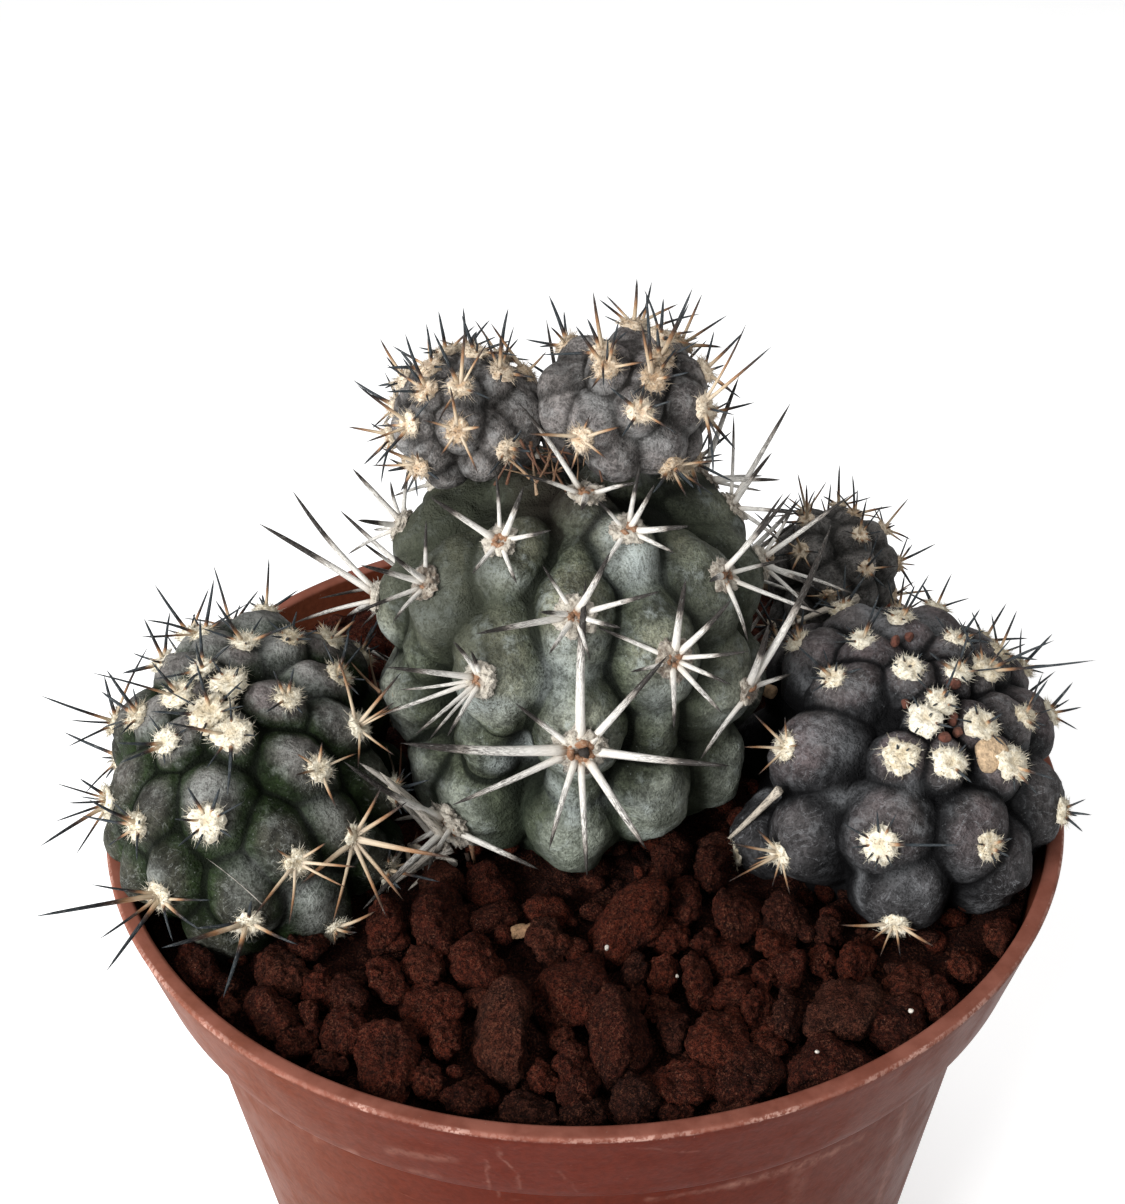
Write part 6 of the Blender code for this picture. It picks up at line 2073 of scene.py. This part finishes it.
def pot_look():
    """Brown-red nursery plastic: faded in patches, with painted sheen on its sides and painted highlights
    on its step and rim edge, scuffed, with a scratched and chipped rim.
    """
    look = Look("pot_plastic", 0.42, 0.02)
    x, y, height = look.axis(0), look.axis(1), look.axis(2)
    broad = look.noise(26.0, 3.0)
    patch = look.noise(5.0, 4.0, 0.6)
    fine = look.noise(0.7, 3.0, 0.6)
    colour = look.mix(look.spread(broad, 0.35, 0.68), *PLASTIC)
    # Painted sheen: paler towards the left, greyer towards the right
    colour = look.mix(look.between(0, -48.0, -8.0, 0.92, 0.0), colour, SHEEN_LEFT)
    colour = look.mix(look.between(0, 6.0, 44.0, 0.0, 0.92), colour, SHEEN_RIGHT)
    colour = look.scaled(colour, look.spread(fine, 0.3, 0.7, 0.88, 1.12))
    # Scuffs run round the pot, so they are stretched by squeezing the height
    around = look.vector_math("MULTIPLY", look.place, (0.35, 0.35, 1.6))
    scuff = look.noise(2.2, 5.0, 0.7, 0.6, vector=around)
    worn = look.times(look.spread(scuff, 0.60, 0.74), look.spread(patch, 0.48, 0.64))
    colour = look.mix(look.times(worn, 0.22), colour, SCUFFED)
    # Each rub and each painted highlight is a soft line in the plane of way round and height
    turn = look.math("ARCTAN2", y, x)
    wobble = look.times(look.plus(look.noise(4.0, 3.0, 0.6), -0.5), 2.2)
    plane = look.node("ShaderNodeCombineXYZ", {
        0: look.plus(look.times(turn, RIM_RADIUS), wobble),
        1: look.plus(look.times(height, 1.0 / MM), wobble)})
    broken = look.spread(look.noise(1.3, 4.0, 0.7), 0.38, 0.60, 0.20, 1.0)
    for first, last, half_width, strength in SEEN_RUBS_AND_HIGHLIGHTS:
        start, end = seen_on_pot(first), seen_on_pot(last)
        run = (end[0] - start[0], end[1] - start[1], 0.0)
        length = run[0] ** 2 + run[1] ** 2
        from_start = look.vector_math("SUBTRACT", plane, (*start, 0.0))
        share = look.vector_math("DOT_PRODUCT", from_start, run, 1)
        share = look.node("ShaderNodeMapRange", {0: share, 1: 0.0, 2: length})
        gap = look.vector_math("DISTANCE", from_start, look.scaled(run, share), 1)
        rub_and_highlight = look.times(look.spread(gap, 0.0, 1.9 * half_width, 0.62 * strength, 0.0), broken)
        colour = look.mix(rub_and_highlight, colour, RUBS_AND_HIGHLIGHTS)
    radial = look.math("SQRT", look.plus(look.times(x, x), look.times(y, y)))
    top = look.times(look.between(2, RIM_Z - 0.5, RIM_Z - 0.15), look.spread(patch, 0.35, 0.65, 0.40, 0.8))
    colour = look.mix(top, colour, RIM_TOP)
    # A painted highlight along the rim's outer edge, broken into pieces
    edge = look.times(look.between(2, RIM_Z - 0.60, RIM_Z - 0.35),
                      look.spread(radial, (RIM_RADIUS - 0.34) * MM, (RIM_RADIUS - 0.18) * MM))
    highlight_breaks = look.spread(look.noise(0.5, 4.0, 0.7), 0.44, 0.56, 0.10, 1.0)
    line = look.times(look.times(edge, highlight_breaks), look.spread(look.noise(7.0, 3.0), 0.42, 0.64, 0.08, 0.58))
    colour = look.mix(line, colour, RIM_EDGE_HIGHLIGHT)
    near_rim = look.between(2, RIM_Z - 1.6, RIM_Z - 0.4)
    chip = look.times(look.spread(look.noise(0.34, 3.0, 0.7, 0.8), 0.70, 0.75), near_rim)
    colour = look.mix(look.times(chip, 0.50), colour, RIM_CHIP)
    dust = look.spread(look.noise(1.1, 4.0, 0.7), 0.66, 0.74, 0.0, 0.08)
    colour = look.mix(dust, colour, POT_DUST)
    look.colour(colour)
    look.rough(look.spread(look.plus(patch, look.times(worn, 0.5)), 0.35, 0.85, 0.38, 0.58))
    look.bump(((fine, 0.03), (broad, 0.25), (look.plus(worn, chip), 0.04)))
    return look


FLOOR_TONES = ((0.90, 0.90, 0.90), (0.93, 0.93, 0.925))
FLOOR_GLOW = 0.5


def floor_look():
    """A nearly white floor that glows a little."""
    look = Look("pale_floor", 0.9)
    look.colour(look.mix(look.spread(look.noise(60.0, 2.0), 0.3, 0.7), *FLOOR_TONES))
    look.shader.inputs["Emission Color"].default_value = (1.0, 1.0, 1.0, 1.0)
    look.shader.inputs["Emission Strength"].default_value = FLOOR_GLOW
    return look


# Room

# Half width of the floor in metres
FLOOR_REACH = 3.0
SKY_STRENGTH = 0.42
# Name, place and width in metres, and power in watts
LAMPS = (("window", (-0.38, -0.42, 0.34), 0.34, 6.2), ("overhead", (0.05, 0.06, 0.62), 0.34, 0.7))
# The place that both lamps face, metres
LAMP_AIM = (0.0, 0.0, 0.09)


def build_camera():
    """The eye of the photo."""
    lens = bpy.data.cameras.new("eye")
    lens.sensor_width = FILM_WIDTH
    lens.lens = LENS_PIXELS / PHOTO_TALL * FILM_WIDTH
    lens.clip_start = 0.001
    lens.clip_end = 20.0
    camera = linked("eye", lens)
    turn = Matrix([[EYE_RIGHT[row], EYE_UP[row], -EYE_FORWARD[row]] for row in range(3)]).to_4x4()
    turn.translation = Vector(EYE * MM)
    camera.matrix_world = turn
    bpy.context.scene.camera = camera


def build_room():
    """A pale floor, an even white sky, a large soft lamp as the window and a faint one above."""
    mesh = bpy.data.meshes.new("floor")
    corners = [(across * FLOOR_REACH, ahead * FLOOR_REACH, 0.0)
               for across, ahead in ((-1, -1), (1, -1), (1, 1), (-1, 1))]
    mesh.from_pydata(corners, [], [(0, 1, 2, 3)])
    mesh.materials.append(floor_look().material)
    floor = linked("floor", mesh)
    world = bpy.data.worlds.new("sky")
    bpy.context.scene.world = world
    world.use_nodes = True
    sky = world.node_tree.nodes["Background"]
    sky.inputs["Color"].default_value = (1.0, 1.0, 1.0, 1.0)
    sky.inputs["Strength"].default_value = SKY_STRENGTH
    for name, place, size, power in LAMPS:
        light = bpy.data.lights.new(name, "AREA")
        light.shape = "DISK"
        light.size = size
        light.energy = power
        lamp = linked(name, light)
        lamp.location = place
        aim = Vector(LAMP_AIM) - Vector(place)
        lamp.rotation_euler = aim.to_track_quat("-Z", "Y").to_euler()
    bpy.context.scene.view_settings.view_transform = "Standard"


def main():
    """Build the room, the pot and the grit, then each head with its spines and wool, then litter."""
    build_camera()
    build_room()
    build_pot(pot_look())
    grit = grit_look()
    build_bed(grit)
    build_grit(grit)
    for head in HEADS.values():
        if head.name == "main_stem":
            place_rib_areoles(head)
        else:
            place_spiral_areoles(head)
        shape_beads(head)
    placed = []
    plans = {name: spine_plan(head, placed) for name, head in HEADS.items()}
    pale_horn = spine_look("chalky_horn", SPINE_PALE, (0.88, 0.70), 0.9)
    dark_horn = spine_look("dark_horn", SPINE_DARK, (0.55, 2.6), 0.2)
    wools = {name: wool_look(name) for name in WOOL_COLOURS}
    earlier = []
    for head in HEADS.values():
        points, faces, values = fine_flesh(head, earlier)
        flesh = Heap()
        flesh.add(points, faces, **values)
        flesh.build(head.name + "_flesh", flesh_look(head), (head.name,))
        earlier.append(head)
        spines = Heap()
        add_spines(head, plans[head.name], spines)
        main = head.name == "main_stem"
        spines.build(head.name + "_spines", pale_horn if main else dark_horn, (head.name,))
        wool = Heap()
        sphere = sphere_mesh(4 if main else 3)
        for number, areole in enumerate(open_areoles(head)):
            add_wool(head, areole, wool, sphere, number)
        kind = "grey_felt" if main else "tan_wool" if head.name in SMALL_HEADS else "cream_wool"
        wool.build(head.name + "_wool", wools[kind], (head.name,))
    build_litter(dead_look(), crumb_look())


main()
